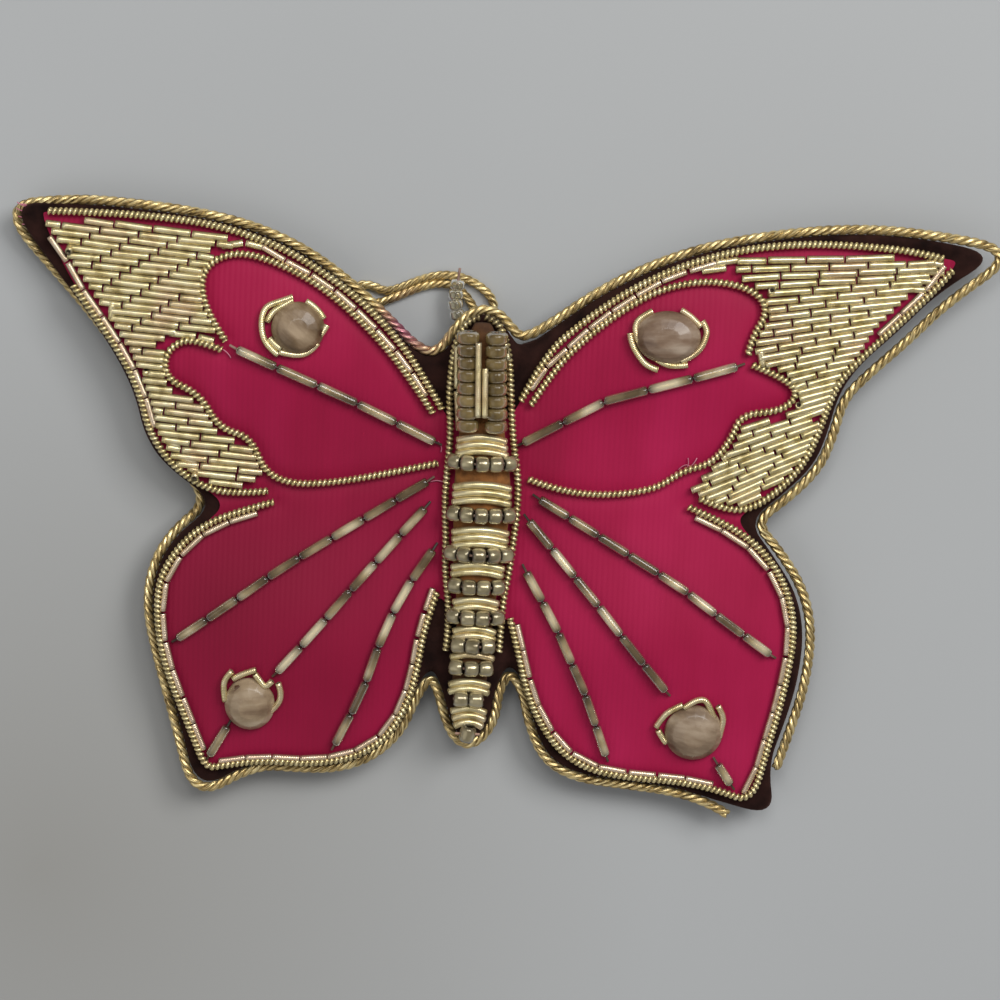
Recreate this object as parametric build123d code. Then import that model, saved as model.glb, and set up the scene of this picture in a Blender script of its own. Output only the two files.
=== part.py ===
"""Padded butterfly ornament: velvet back, silk front, metal-thread embroidery, glass beads and a cord loop.

The butterfly lies on its back. The origin is on the flat back, on the body's axis; +Z comes up out of the
embroidered face, +Y runs towards the head and +X towards the right-hand wings of the picture.
"""
from build123d import *
import math
import os

# Driving dimensions of the padded form, in millimetres
wing_span = 150.0
seam_height = 5.4
rim_height = 6.6
pad_rise = 2.8
wall_height = 14.0
front_draw_in = 0.4
velvet_thickness = 0.8
silk_thickness = 0.6

# Clearances and the one overrun that serves every cut
lay_gap = 0.15
seat_gap = 0.2
end_gap = 0.3
overrun = 2.0

# Cords and metal thread
edge_cord_diameter = 1.6
loop_cord_diameter = 1.4
coil_diameter = 1.1
purl_diameter = 0.9
purl_piece_length = 4.2
fill_diameter = 0.95
fill_piece_length = 5.6
fill_pitch = 1.25
fill_stagger_share = 0.38
thread_diameter = 0.4
tack_diameter = 1.0

# Beads and stones
bugle_diameter = 1.5
bugle_bore = 0.9
forewing_bugle_length = 6.3
hindwing_bugle_length = 4.9
bugle_gap = 0.8
thorax_bead_diameter = 3.5
thorax_bead_length = 1.8
thorax_column_offset = 2.15
abdomen_bead_diameter = 2.0
abdomen_bead_length = 1.75
antenna_bead_diameter = 2.4
antenna_bead_length = 1.45
bead_bore = 0.8
bead_gap = 0.12
stone_height = 2.6
stone_ring_gap = 0.35
stone_girdle_shares = [1.0, 1.0, 0.74, 0.36]

# Body padding
body_shoulder = 8.4
body_skirt = 3.8
body_rise_share = 0.4
body_coil_room = 1.25
band_reach_share = 0.8

# Facets of round sections, and the share of a run that a bend takes
cord_sides = 6
bead_sides = 8
stone_sides = 16
bend_share = 0.45

# How the photograph was taken: pixel of the origin, turn of the picture, lean of the view, and its distance
photo_centre_pixels = (475.5, 506)
span_pixels = 958
photo_turn_deg = 2.5
photo_lean_deg = 12
view_distance = 500.0
pixel_size = wing_span / span_pixels

# Middle of each wing's padding, and how wide the padding spreads along and across the wing
pad_centre_pixels = {"left_forewing": (265, 350), "right_forewing": (705, 350),
                     "left_hindwing": (290, 630), "right_hindwing": (655, 640)}
pad_length_share = 0.13
pad_width_share = 0.09
crown_reach_share = 0.6
crown_columns = 37
crown_rows = 31

# Seam outline, clockwise from the head, in named stretches
seam_pixels = {
    "head": [(463, 325), (480, 313), (497, 317), (508, 331)],
    "right_shoulder": [(521, 350)],
    "right_forewing_top": [(556, 326), (592, 301), (640, 275), (700, 253), (770, 240), (850, 233),
                           (925, 238)],
    "right_tip": [(1000, 255)],
    "right_forewing_side": [(938, 293), (900, 330), (858, 366), (838, 396), (828, 432), (815, 464),
                            (785, 493)],
    "right_waist": [(748, 521)],
    "right_hindwing": [(773, 555), (796, 592), (804, 632), (798, 680), (785, 722), (768, 765)],
    "right_tail": [(775, 817)],
    "right_hem": [(712, 802), (672, 789), (625, 783), (575, 776), (545, 758), (530, 722), (525, 690)],
    "right_vent": [(509, 660)],
    "abdomen": [(494, 690), (491, 716), (480, 734), (467, 741), (456, 732), (448, 712), (443, 690)],
    "left_vent": [(431, 664)],
    "left_hem": [(414, 698), (402, 728), (375, 754), (340, 767), (300, 767), (255, 763)],
    "left_tail": [(197, 792)],
    "left_hindwing": [(180, 722), (163, 660), (152, 612), (155, 572), (174, 536)],
    "left_waist": [(217, 503)],
    "left_forewing_side": [(164, 465), (144, 433), (136, 397), (120, 362), (94, 321), (60, 275)],
    "left_tip": [(6, 202)],
    "left_forewing_top": [(75, 203), (135, 208), (195, 216), (250, 229), (300, 251), (345, 283), (385, 321),
                          (415, 352)],
    "left_shoulder": [(440, 359)],
}
# Wing that each stretch of the seam belongs to, and how far the back is drawn in towards that wing's middle
stretch_wings = {
    "right_forewing_top": "right_forewing", "right_tip": "right_forewing",
    "right_forewing_side": "right_forewing",
    "right_hindwing": "right_hindwing", "right_tail": "right_hindwing", "right_hem": "right_hindwing",
    "left_hem": "left_hindwing", "left_tail": "left_hindwing", "left_hindwing": "left_hindwing",
    "left_forewing_side": "left_forewing", "left_tip": "left_forewing", "left_forewing_top": "left_forewing",
}
draw_in_along_share = 0.13
draw_in_across_share = 0.28
# The back is drawn in further beside the head and under it, to leave the hanging loop room to lie and swing
loop_room_stretch = "left_forewing_top"
loop_room_across_share = 0.4
back_head_pixels = [(473, 352), (481, 349), (489, 349), (498, 353)]
# Where the edge cord stands off the seam, and where it has slipped below it
cord_gap = 0.15
cord_slack = {"right_tip": 0.5, "right_forewing_side": 1.3, "right_hindwing": 0.5, "right_shoulder": 0.5,
              "right_vent": 0.7, "left_vent": 0.82, "left_tip": 0.3}
cord_drop = {"left_waist": 2.4, "left_forewing_side": 2.4, "left_tip": 1.6}
cord_start_pixels = (727, 814)
cord_end_pixels = (776, 768)

# Embroidered outlines on the silk, from the body outwards
wing_line_pixels = {
    "left": {
        "forewing_edge": [(438, 400), (416, 363), (382, 321), (349, 291), (316, 268), (283, 248), (240, 232),
                          (200, 222), (150, 216), (95, 212), (48, 211)],
        "forewing_side": [(73, 285), (99, 321), (126, 362), (141, 396), (149, 431), (170, 463), (202, 487),
                          (235, 494), (268, 491)],
        "cell_upper": [(424, 404), (407, 381), (382, 349), (349, 315), (316, 286), (276, 262), (241, 252),
                       (214, 259), (201, 277), (204, 303), (222, 335)],
        "cell_lower": [(214, 347), (184, 339), (165, 353), (166, 379), (200, 394), (219, 428), (251, 437),
                       (264, 471), (290, 484), (330, 483), (380, 475), (438, 463)],
        "hindwing_edge": [(274, 502), (232, 513), (201, 527), (177, 549), (160, 578), (157, 608), (160, 643),
                          (169, 675), (181, 706), (195, 741), (206, 768), (224, 765), (262, 760), (312, 764),
                          (356, 757), (388, 737), (408, 703), (418, 666), (424, 628), (437, 592)],
        "body": [(463, 337), (453, 354), (449, 396), (451, 436), (446, 481), (445, 507), (446, 540),
                 (445, 573), (450, 613), (446, 650)],
    },
    "right": {
        "forewing_edge": [(521, 391), (545, 355), (582, 323), (630, 290), (682, 266), (740, 250), (801, 244),
                          (862, 246), (918, 252)],
        "forewing_side": [(938, 287), (900, 323), (860, 359), (838, 383), (828, 406), (818, 434), (805, 462),
                          (780, 490), (748, 511), (720, 508), (699, 498)],
        "cell_upper": [(536, 398), (554, 370), (585, 339), (623, 310), (659, 290), (699, 281), (736, 284),
                       (761, 296), (767, 314), (752, 337), (748, 351)],
        "cell_lower": [(757, 367), (785, 378), (799, 394), (782, 411), (741, 414), (731, 440), (711, 464),
                       (682, 471), (655, 490), (602, 496), (556, 490), (528, 479)],
        "hindwing_edge": [(688, 507), (725, 523), (755, 543), (778, 571), (791, 603), (794, 636), (788, 672),
                          (779, 710), (767, 749), (752, 803), (716, 789), (677, 781), (635, 778), (593, 771),
                          (563, 754), (541, 725), (527, 692), (519, 655), (510, 618)],
        "body": [(503, 335), (510, 360), (511, 398), (513, 440), (518, 475), (518, 504), (514, 538),
                 (509, 573), (502, 605), (499, 652)],
    },
}
# Corners that close the silk sheet at the wing tips, at the waists and under the body
silk_corner_pixels = {
    "left": {"tip": [(33, 213)], "waist": [(226, 505)], "body": [(452, 424)], "tail": [(452, 612)]},
    "right": {"tip": [(964, 258)], "waist": [(737, 521)], "body": [(507, 424)], "tail": [(498, 622)]},
}
# Smooth purl lines, laid in cut lengths
purl_line_pixels = {
    "left": {
        "forewing": [[(262, 246), (306, 270), (336, 291), (367, 318), (405, 361), (426, 395)],
                     [(50, 236), (74, 270), (104, 312), (127, 346), (147, 385), (157, 425)]],
        "hindwing": [[(258, 513), (211, 529), (185, 555), (169, 580), (165, 608), (168, 647), (178, 676),
                      (192, 709), (205, 748)],
                     [(219, 756), (256, 751), (302, 755), (345, 752), (378, 732), (398, 705), (408, 666),
                      (414, 630), (431, 585)]],
    },
    "right": {
        "forewing": [[(531, 389), (547, 366), (584, 331), (624, 301), (666, 279), (716, 265)],
                     [(944, 267), (915, 292), (893, 312), (876, 331)]],
        "hindwing": [[(694, 520), (738, 546), (768, 578), (783, 612), (784, 650), (771, 705), (757, 751),
                      (743, 790)],
                     [(713, 781), (686, 773), (641, 770), (598, 764), (566, 744), (545, 710), (534, 672),
                      (521, 621)]],
    },
}
# Patches filled with rows of cut purl, the line that the rows cross, and the slope of the first and last row
fill_patch_pixels = {
    "left": [(50, 220), (110, 221), (170, 225), (237, 240), (212, 252), (197, 270), (195, 290), (198, 306),
             (213, 334), (182, 331), (160, 345), (158, 366), (163, 387), (196, 402), (214, 434), (246, 445),
             (258, 474), (234, 485), (205, 479), (181, 462), (165, 434), (156, 396), (137, 350), (112, 311),
             (83, 268), (58, 231)],
    "right": [(737, 261), (801, 253), (862, 254), (936, 264), (908, 289), (869, 328), (851, 357), (831, 381),
              (821, 405), (811, 431), (798, 458), (774, 484), (746, 502), (718, 499), (696, 488), (716, 471),
              (738, 445), (748, 423), (786, 420), (806, 395), (791, 371), (760, 358), (761, 340), (775, 315),
              (768, 290), (745, 276)],
}
fill_spine_pixels = {"left": [(125, 214), (215, 492)], "right": [(850, 247), (745, 510)]}
fill_slope_degs = {"left": (7.0, 6.0), "right": (0.0, -26.0)}
fill_least_share = 0.25

# Rows of bugle beads that draw the veins
vein_pixels = {
    "left": {
        "forewing": [[(239, 349), (340, 394), (433, 440)]],
        "hindwing_upper": [[(426, 481), (280, 568), (180, 636)]],
        "hindwing_middle": [[(424, 508), (350, 590), (279, 669)], [(227, 726), (211, 752)]],
        "hindwing_lower": [[(432, 550), (400, 596), (378, 646), (362, 692), (336, 741)]],
    },
    "right": {
        "forewing": [[(525, 441), (608, 399), (735, 366)]],
        "hindwing_upper": [[(541, 499), (680, 586), (768, 652)]],
        "hindwing_middle": [[(530, 521), (600, 607), (664, 688)], [(718, 764), (729, 781)]],
        "hindwing_lower": [[(527, 572), (556, 626), (584, 690), (605, 752)]],
    },
}
# Stones: middle, and half axes along and across, with the start and end of the purl ring round each
stone_pixels = {
    "left": {"forewing": [(298, 328), (26, 26)], "hindwing": [(250, 706), (22, 22)]},
    "right": {"forewing": [(668, 337), (32, 26)], "hindwing": [(693, 735), (27, 26)]},
}
ring_span_degs = {"forewing": (10, 350), "hindwing": (-25, 205)}
ring_pieces = {"forewing": 6, "hindwing": 4}

# Body along its axis, from the head to the tail: place, middle, and half width out to its coils
body_section_pixels = [(323, 483, 16), (345, 482, 26), (367, 480.5, 30), (436, 482, 30.5),
                       (481, 482.5, 35.5), (507, 481.5, 36.5), (540, 480, 34), (573, 477, 32),
                       (613, 475.5, 26), (652, 472.5, 27), (690, 468.5, 25), (716, 469, 20),
                       (736, 467, 12)]
# Places of the bands and bead rows on the body, and how many each row holds
purl_band_pixels = [435, 442, 449, 482, 489.5, 497, 527, 534, 541, 562, 569, 597, 604, 626, 633, 652,
                    679, 686, 706, 713, 720]
bead_row_pixels = [(461, 5), (512, 5), (552, 5), (584, 4), (615, 4), (643, 3), (665, 3), (696, 2), (731, 1)]
thorax_pixels = (329, 428)
thorax_purl_pixels = (338, 412)

# Antenna: from its foot under the head to its tip, with the share of the run left bare at the foot
antenna_pixels = [(470, 333), (457, 318), (455, 300), (460, 268)]
antenna_height = 3.0
antenna_bare_share = 0.26

# Hanging loop: its route on the surface that the ornament lies on, and the tack that holds both ends
loop_pixels = [(478, 316), (471, 304), (463, 293), (452, 286), (436, 284), (419, 288), (402, 295),
               (388, 301), (373, 304), (360, 302), (354, 293), (359, 284), (372, 283), (387, 286),
               (403, 282), (419, 276), (437, 272), (454, 273), (470, 279), (483, 288), (492, 298),
               (495, 309), (490, 317)]
loop_tack_pixels = (484, 318)
loop_floor_gap = 0.05


def place(spot, height):
    """Turn a photograph pixel into the point that it shows at the given height."""
    turn = math.radians(photo_turn_deg)
    lean = math.radians(photo_lean_deg)
    right = (spot[0] - photo_centre_pixels[0]) * pixel_size
    up = (photo_centre_pixels[1] - spot[1]) * pixel_size
    across = right * math.cos(turn) - up * math.sin(turn)
    along = right * math.sin(turn) + up * math.cos(turn)
    eye = Vector(0, view_distance * math.sin(lean), view_distance * math.cos(lean))
    seen = Vector(across, along * math.cos(lean), -along * math.sin(lean))
    reach = (eye.Z - height) / (eye.Z - seen.Z)
    return eye + (seen - eye) * reach


pad_centres = {wing: place(spot, rim_height) for wing, spot in pad_centre_pixels.items()}


def crown(x, y):
    """Height of the silk: a flat rim with one soft swelling on each wing."""
    height = rim_height
    for centre in pad_centres.values():
        along = (x - centre.X) / (pad_length_share * wing_span)
        across = (y - centre.Y) / (pad_width_share * wing_span)
        height += pad_rise * math.exp(-along ** 2 - across ** 2)
    return height


def on_silk(spot, lift):
    """Point that a pixel shows when it stands a little above the silk."""
    point = place(spot, rim_height)
    for _ in range(3):
        point = place(spot, crown(point.X, point.Y) + lift)
    return point


def raised(point, lift):
    """The same place, a little above the silk."""
    return Vector(point.X, point.Y, crown(point.X, point.Y) + lift)


def bend_radii(points, closed=False):
    """Largest tangent arc for each corner of a route."""
    count = len(points)
    corners = range(count) if closed else range(1, count - 1)
    radii = []
    for i in corners:
        before = points[i] - points[i - 1]
        after = points[(i + 1) % count] - points[i]
        half_turn = math.radians(before.get_angle(after)) / 2
        radii.append(bend_share * min(before.length, after.length) / math.tan(half_turn))
    return radii


def soft_route(points, closed=False):
    """Route of straight runs, with the largest tangent arc at each corner."""
    count = len(points)
    corners = list(range(count)) if closed else list(range(1, count - 1))
    arcs = []
    for i, radius in zip(corners, bend_radii(points, closed)):
        before = (points[i] - points[i - 1]).normalized()
        after = (points[(i + 1) % count] - points[i]).normalized()
        half_turn = math.radians(before.get_angle(after)) / 2
        inwards = (after - before).normalized()
        reach = radius * math.tan(half_turn)
        middle = points[i] + inwards * (radius / math.cos(half_turn) - radius)
        arcs.append(Edge.make_three_point_arc(points[i] - before * reach, middle, points[i] + after * reach))
    edges = []
    here = arcs[-1] @ 1 if closed else points[0]
    for arc in arcs:
        edges += [Edge.make_line(here, arc @ 0), arc]
        here = arc @ 1
    if not closed:
        edges.append(Edge.make_line(here, points[-1]))
    return Wire(edges)


def section(start, towards, diameter, sides):
    """Many-sided section of a cord or bead, square to its run."""
    return Plane(origin=start, z_dir=towards - start) * RegularPolygon(diameter / 2, sides)


def tube(points, diameter, sides=cord_sides):
    """Cord or wire along a route of straight runs joined by tangent arcs."""
    return sweep(section(points[0], points[1], diameter, sides), path=soft_route(points))


def rod(start, end, diameter, sides=cord_sides):
    """Straight length of wire or thread."""
    return extrude(section(start, end, diameter, sides), amount=(end - start).length)


def chain(points, diameter, sides=cord_sides):
    """Thread of straight runs with mitred corners."""
    return sweep(section(points[0], points[1], diameter, sides), path=Polyline(*points),
                 transition=Transition.RIGHT)


def mitred(points, offsets):
    """Move each corner of a clockwise outline outwards by its own offset."""
    moved = []
    count = len(points)
    for i, offset in enumerate(offsets):
        before = (points[i] - points[i - 1]).normalized()
        after = (points[(i + 1) % count] - points[i]).normalized()
        normal_before = Vector(-before.Y, before.X, 0)
        normal_after = Vector(-after.Y, after.X, 0)
        mitre = normal_before + normal_after
        moved.append(points[i] + mitre * (offset * 2 / mitre.length ** 2))
    return moved


def along_route(points, distance):
    """Point at a distance along a route of straight runs."""
    for start, end in zip(points, points[1:]):
        run = (end - start).length
        if distance <= run or end is points[-1]:
            break
        distance -= run
    return start + (end - start) * (distance / run)


def route_length(points):
    """Length of a route of straight runs."""
    return sum((end - start).length for start, end in zip(points, points[1:]))


def pieces_along(points, piece_length, gap):
    """Ends of the equal pieces that fit along a route, spread evenly."""
    total = route_length(points)
    count = max(1, round((total + gap) / (piece_length + gap)))
    pitch = (total + gap) / count
    return [(along_route(points, pitch * i), along_route(points, pitch * (i + 1) - gap))
            for i in range(count)]


def staggered(points, first_length):
    """Ends of the pieces that cover a row of fill, the first cut shorter so that the joints don't line up."""
    total = route_length(points)
    ends = []
    low = 0
    high = first_length
    while total - low > fill_least_share * fill_piece_length:
        if total - high < fill_least_share * fill_piece_length:
            high = total
        ends.append((along_route(points, low), along_route(points, high)))
        low = high + end_gap
        high = low + fill_piece_length
    return ends


def laid(start, end, diameter):
    """Lift a straight piece so that it lies on the crowned silk without biting into it."""
    lift = diameter / 2 + seat_gap
    low = raised(start, lift)
    high = raised(end, lift)
    middle = (low + high) / 2
    bulge = max(0, crown(middle.X, middle.Y) + lift - middle.Z)
    return low + Vector(0, 0, bulge), high + Vector(0, 0, bulge)


# Padded form: seam, drawn-in back and leaning front wall
seam_names = [name for name, spots in seam_pixels.items() for _ in spots]
seam_points = [place(spot, seam_height) for spots in seam_pixels.values() for spot in spots]
back_points = []
for name, point in zip(seam_names, seam_points):
    middle = pad_centres.get(stretch_wings.get(name), point)
    across_share = loop_room_across_share if name == loop_room_stretch else draw_in_across_share
    back_points.append(Vector(point.X + (middle.X - point.X) * draw_in_along_share,
                              point.Y + (middle.Y - point.Y) * across_share, 0))
head_place = seam_names.index("head")
for i, spot in enumerate(back_head_pixels):
    back_points[head_place + i] = place(spot, 0)


def seam_ring(height, wall=0.0):
    """Outline of the padded form at a height, less a wall."""
    if height < seam_height:
        share = 1 - height / seam_height
        ring = [seam + (back - seam) * share for seam, back in zip(seam_points, back_points)]
    else:
        lean = front_draw_in * (height - seam_height) / (wall_height - seam_height)
        ring = mitred(seam_points, [-lean for _ in seam_points])
    flat = [Vector(point.X, point.Y, height) for point in ring]
    return soft_route(mitred(flat, [-wall for _ in flat]), closed=True)


def silk_ring(height, inset=0.0):
    """Outline of the silk sheet at a height: it follows the outer coils and closes under the body."""
    left_lines = wing_line_pixels["left"]
    right_lines = wing_line_pixels["right"]
    left_corner = silk_corner_pixels["left"]
    right_corner = silk_corner_pixels["right"]
    spots = right_corner["body"] + right_lines["forewing_edge"] + right_corner["tip"]
    spots += right_lines["forewing_side"][:-2] + right_corner["waist"]
    spots += right_lines["hindwing_edge"][2:] + right_corner["tail"]
    spots += left_corner["tail"] + left_lines["hindwing_edge"][:1:-1]
    spots += left_corner["waist"] + left_lines["forewing_side"][-3::-1]
    spots += left_corner["tip"] + left_lines["forewing_edge"][::-1] + left_corner["body"]
    points = [on_silk(spot, 0) for spot in spots]
    flat = [Vector(point.X, point.Y, height) for point in points]
    return soft_route(mitred(flat, [-inset for _ in flat]), closed=True)


def crown_slab(lift, depth):
    """Slab under the crowned silk surface, raised by lift."""
    reach = crown_reach_share * wing_span
    grid = []
    for i in range(crown_columns):
        x = reach * (2 * i / (crown_columns - 1) - 1)
        column = []
        for j in range(crown_rows):
            y = reach * (2 * j / (crown_rows - 1) - 1)
            column.append(Vector(x, y, crown(x, y) + lift))
        grid.append(column)
    surface = Face.make_surface_from_array_of_points(grid)
    return extrude(surface, amount=depth, dir=(0, 0, -1))


def prism(wire, height):
    """Upright block on an outline."""
    return extrude(Face(wire), amount=height, dir=(0, 0, 1))


# Velvet cover: the form, hollowed by a well for the filling and a mouth for the silk
full_depth = wall_height + overrun
well_top = seam_height + 3 * lay_gap
form = Solid.make_loft([seam_ring(0), seam_ring(seam_height), seam_ring(wall_height)], ruled=True)
form = form & crown_slab(0, full_depth)
well = Solid.make_loft([seam_ring(velvet_thickness, velvet_thickness),
                        seam_ring(seam_height, velvet_thickness),
                        seam_ring(well_top, velvet_thickness)], ruled=True)
mouth = prism(silk_ring(seam_height), wall_height - seam_height)
back_cover = form - (well + mouth)

# Silk sheet in the mouth, and the filling under it
silk_block = prism(silk_ring(seam_height, lay_gap), wall_height - seam_height)
front_cover = silk_block & crown_slab(0, silk_thickness)
filling_wall = velvet_thickness + lay_gap
filling_low = Solid.make_loft([seam_ring(filling_wall, filling_wall), seam_ring(seam_height, filling_wall),
                               seam_ring(well_top - lay_gap, filling_wall)], ruled=True)
filling_high = prism(silk_ring(seam_height + lay_gap, lay_gap), wall_height - seam_height)
wadding = filling_low + (filling_high & crown_slab(-silk_thickness - lay_gap, full_depth))

# Edge cord round the seam, from one side of the right tail to the other
cord_reach = edge_cord_diameter / 2 + cord_gap
cord_line = []
cord_offsets = []
for name, seam, back in zip(seam_names, seam_points, back_points):
    drop = cord_drop.get(name, 0)
    slipped = seam + (back - seam) * (drop / seam_height)
    lean = math.atan2(math.hypot(back.X - seam.X, back.Y - seam.Y), seam_height) if drop else 0
    cord_line.append(slipped)
    cord_offsets.append(cord_reach / math.cos(lean) + cord_slack.get(name, 0))
cord_ring = mitred(cord_line, cord_offsets)
tail_place = seam_names.index("right_tail")
cord_route = [place(cord_start_pixels, seam_height)] + cord_ring[tail_place + 1:] + cord_ring[:tail_place]
cord_route[-1] = place(cord_end_pixels, seam_height)
edge_cord = tube(cord_route, edge_cord_diameter)


# Body padding: a loft of low arches that sits on the silk
def body_place(spot_v):
    """Middle of the body and half width of its padding at a place along it, inside its coils."""
    for (v_low, u_low, low), (v_high, u_high, high) in zip(body_section_pixels, body_section_pixels[1:]):
        if spot_v <= v_high:
            break
    share = (spot_v - v_low) / (v_high - v_low)
    axis = place((u_low + (u_high - u_low) * share, spot_v), body_shoulder)
    return axis, (low + (high - low) * share) * pixel_size - body_coil_room


def body_arch(spot_v, lift=0.0):
    """Radius of the arch over the padding, and how far its middle is below the shoulder."""
    _, half = body_place(spot_v)
    rise = half * body_rise_share
    radius = (half ** 2 + rise ** 2) / (2 * rise)
    return radius + lift, radius - rise


def body_section(spot_v):
    """Upright arch across the body."""
    axis, half = body_place(spot_v)
    rise = half * body_rise_share
    plane = Plane(origin=axis, x_dir=(1, 0, 0), z_dir=(0, -1, 0))
    foot_left = plane.from_local_coords(Vector(-half, -body_skirt, 0))
    foot_right = plane.from_local_coords(Vector(half, -body_skirt, 0))
    side_left = plane.from_local_coords(Vector(-half, 0, 0))
    side_right = plane.from_local_coords(Vector(half, 0, 0))
    top = plane.from_local_coords(Vector(0, rise, 0))
    return Wire([Edge.make_line(foot_left, foot_right), Edge.make_line(foot_right, side_right),
                 Edge.make_three_point_arc(side_right, top, side_left),
                 Edge.make_line(side_left, foot_left)])


body_core = Solid.make_loft([body_section(spot_v) for spot_v, _, _ in body_section_pixels], ruled=True)
body_core = body_core - crown_slab(lay_gap, full_depth)


def over_body(spot_v, angle, lift):
    """Point over the body's arch, at an angle from its top."""
    radius, sink = body_arch(spot_v, lift)
    axis, _ = body_place(spot_v)
    return axis + Vector(radius * math.sin(angle), 0, radius * math.cos(angle) - sink)


def arch_reach(spot_v, lift):
    """Angle from the top of the arch down to the level of its shoulder."""
    radius, sink = body_arch(spot_v, lift)
    return math.acos(sink / radius)


def purl_band(spot_v):
    """Bent purl across the body."""
    lift = purl_diameter / 2 + seat_gap
    reach = arch_reach(spot_v, lift) * band_reach_share
    start = over_body(spot_v, -reach, lift)
    end = over_body(spot_v, reach, lift)
    arc = Edge.make_three_point_arc(start, over_body(spot_v, 0, lift), end)
    profile = Plane(origin=start, z_dir=arc % 0) * RegularPolygon(purl_diameter / 2, cord_sides)
    return sweep(profile, path=arc)


def barrel(diameter, length, bore):
    """Glass bead with rounded shoulders and a bore along Z."""
    shoulder = (diameter - bore) / 5
    heights = [-length / 2, shoulder - length / 2, length / 2 - shoulder, length / 2]
    radii = [diameter / 2 - shoulder, diameter / 2, diameter / 2, diameter / 2 - shoulder]
    rings = [Plane.XY.offset(z) * RegularPolygon(r, bead_sides) for z, r in zip(heights, radii)]
    hole = Plane.XY.offset(-length) * RegularPolygon(bore / 2, cord_sides)
    return loft(rings, ruled=True) - extrude(hole, amount=2 * length)


def bead_at(bead, middle, towards):
    """Copy of a bead with its bore along a direction."""
    return Plane(origin=middle, z_dir=towards).location * bead


abdomen_bead = barrel(abdomen_bead_diameter, abdomen_bead_length, bead_bore)
thorax_bead = barrel(thorax_bead_diameter, thorax_bead_length, bead_bore)
antenna_bead = barrel(antenna_bead_diameter, antenna_bead_length, bead_bore)

# Rows of seed beads across the abdomen, each on its own thread
abdomen_beads = []
abdomen_threads = []
bead_lift = abdomen_bead_diameter / 2 + seat_gap
for spot_v, count in bead_row_pixels:
    radius, _ = body_arch(spot_v, bead_lift)
    step = 2 * math.asin((abdomen_bead_length + bead_gap) / 2 / (radius - abdomen_bead_diameter / 2))
    angles = [step * (i - (count - 1) / 2) for i in range(count)]
    for angle in angles:
        middle = over_body(spot_v, angle, bead_lift)
        abdomen_beads.append(bead_at(abdomen_bead, middle, Vector(math.cos(angle), 0, -math.sin(angle))))
    knots = [angle - step / 2 for angle in angles] + [angles[-1] + step / 2]
    knot_lift = bead_lift + radius / math.cos(step / 2) - radius
    abdomen_threads.append(chain([over_body(spot_v, knot, knot_lift) for knot in knots], thread_diameter))

# Two columns of large beads on the thorax, with purl between them
thorax_arch, thorax_sink = body_arch(thorax_pixels[0] + (thorax_pixels[1] - thorax_pixels[0]) / 2)
thorax_reach = thorax_arch + thorax_bead_diameter / 2 + seat_gap
thorax_height = body_shoulder - thorax_sink + math.sqrt(thorax_reach ** 2 - thorax_column_offset ** 2)
thorax_top = body_place(thorax_pixels[0])[0]
thorax_low = body_place(thorax_pixels[1])[0]
thorax_beads = {}
thorax_threads = []
for side, sign in (("left", -1), ("right", 1)):
    column = [Vector(end.X + sign * thorax_column_offset, end.Y, thorax_height)
              for end in (thorax_top, thorax_low)]
    ends = pieces_along(column, thorax_bead_length, bead_gap)
    thorax_beads[side] = [bead_at(thorax_bead, (start + end) / 2, end - start) for start, end in ends]
    thorax_threads.append(rod(column[0], column[1], thread_diameter))
valley = math.sqrt((thorax_bead_diameter / 2 + purl_diameter / 2 + lay_gap) ** 2
                   - (thorax_column_offset - purl_diameter / 2 - lay_gap / 2) ** 2)
thorax_purl = []
for sign in (-1, 1):
    ends = []
    for spot_v in thorax_purl_pixels:
        axis, _ = body_place(spot_v)
        ends.append(Vector(axis.X + sign * (purl_diameter + lay_gap) / 2, axis.Y, thorax_height + valley))
    thorax_purl.append(rod(ends[0], ends[1], purl_diameter))

# Antenna: clear beads on a stiff thread that comes out from under the head
antenna_route = [place(spot, antenna_height) for spot in antenna_pixels]
antenna_thread = chain(antenna_route, thread_diameter)
antenna_start = antenna_bare_share * route_length(antenna_route)
antenna_beads = []
antenna_run = route_length(antenna_route) - antenna_start - antenna_bead_length / 2
antenna_count = int(antenna_run / (antenna_bead_length + bead_gap))
for i in range(antenna_count):
    low = antenna_start + i * (antenna_bead_length + bead_gap)
    start = along_route(antenna_route, low)
    end = along_route(antenna_route, low + antenna_bead_length)
    antenna_beads.append(bead_at(antenna_bead, (start + end) / 2, end - start))

# Hanging loop lying beside the head, and the thread shank that tacks it under the seam
loop_height = loop_cord_diameter / 2 + loop_floor_gap
loop_route = [place(spot, loop_height) for spot in loop_pixels]
hanging_loop = tube(loop_route, loop_cord_diameter)
tack_foot = place(loop_tack_pixels, loop_height)
tack_top = seam_height - tack_diameter - 2 * end_gap
loop_tack = rod(Vector(tack_foot.X, tack_foot.Y, loop_floor_gap), Vector(tack_foot.X, tack_foot.Y, tack_top),
                tack_diameter, bead_sides)


def coil_tube(spots):
    """Coiled wire couched on the silk."""
    return tube([on_silk(spot, coil_diameter / 2 + seat_gap) for spot in spots], coil_diameter)


def purl_pieces(spots):
    """Cut lengths of smooth purl laid end to end along a line."""
    route = [on_silk(spot, 0) for spot in spots]
    solids = []
    for start, end in pieces_along(route, purl_piece_length, end_gap):
        low, high = laid(start, end, purl_diameter)
        solids.append(rod(low, high, purl_diameter))
    return solids


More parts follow.
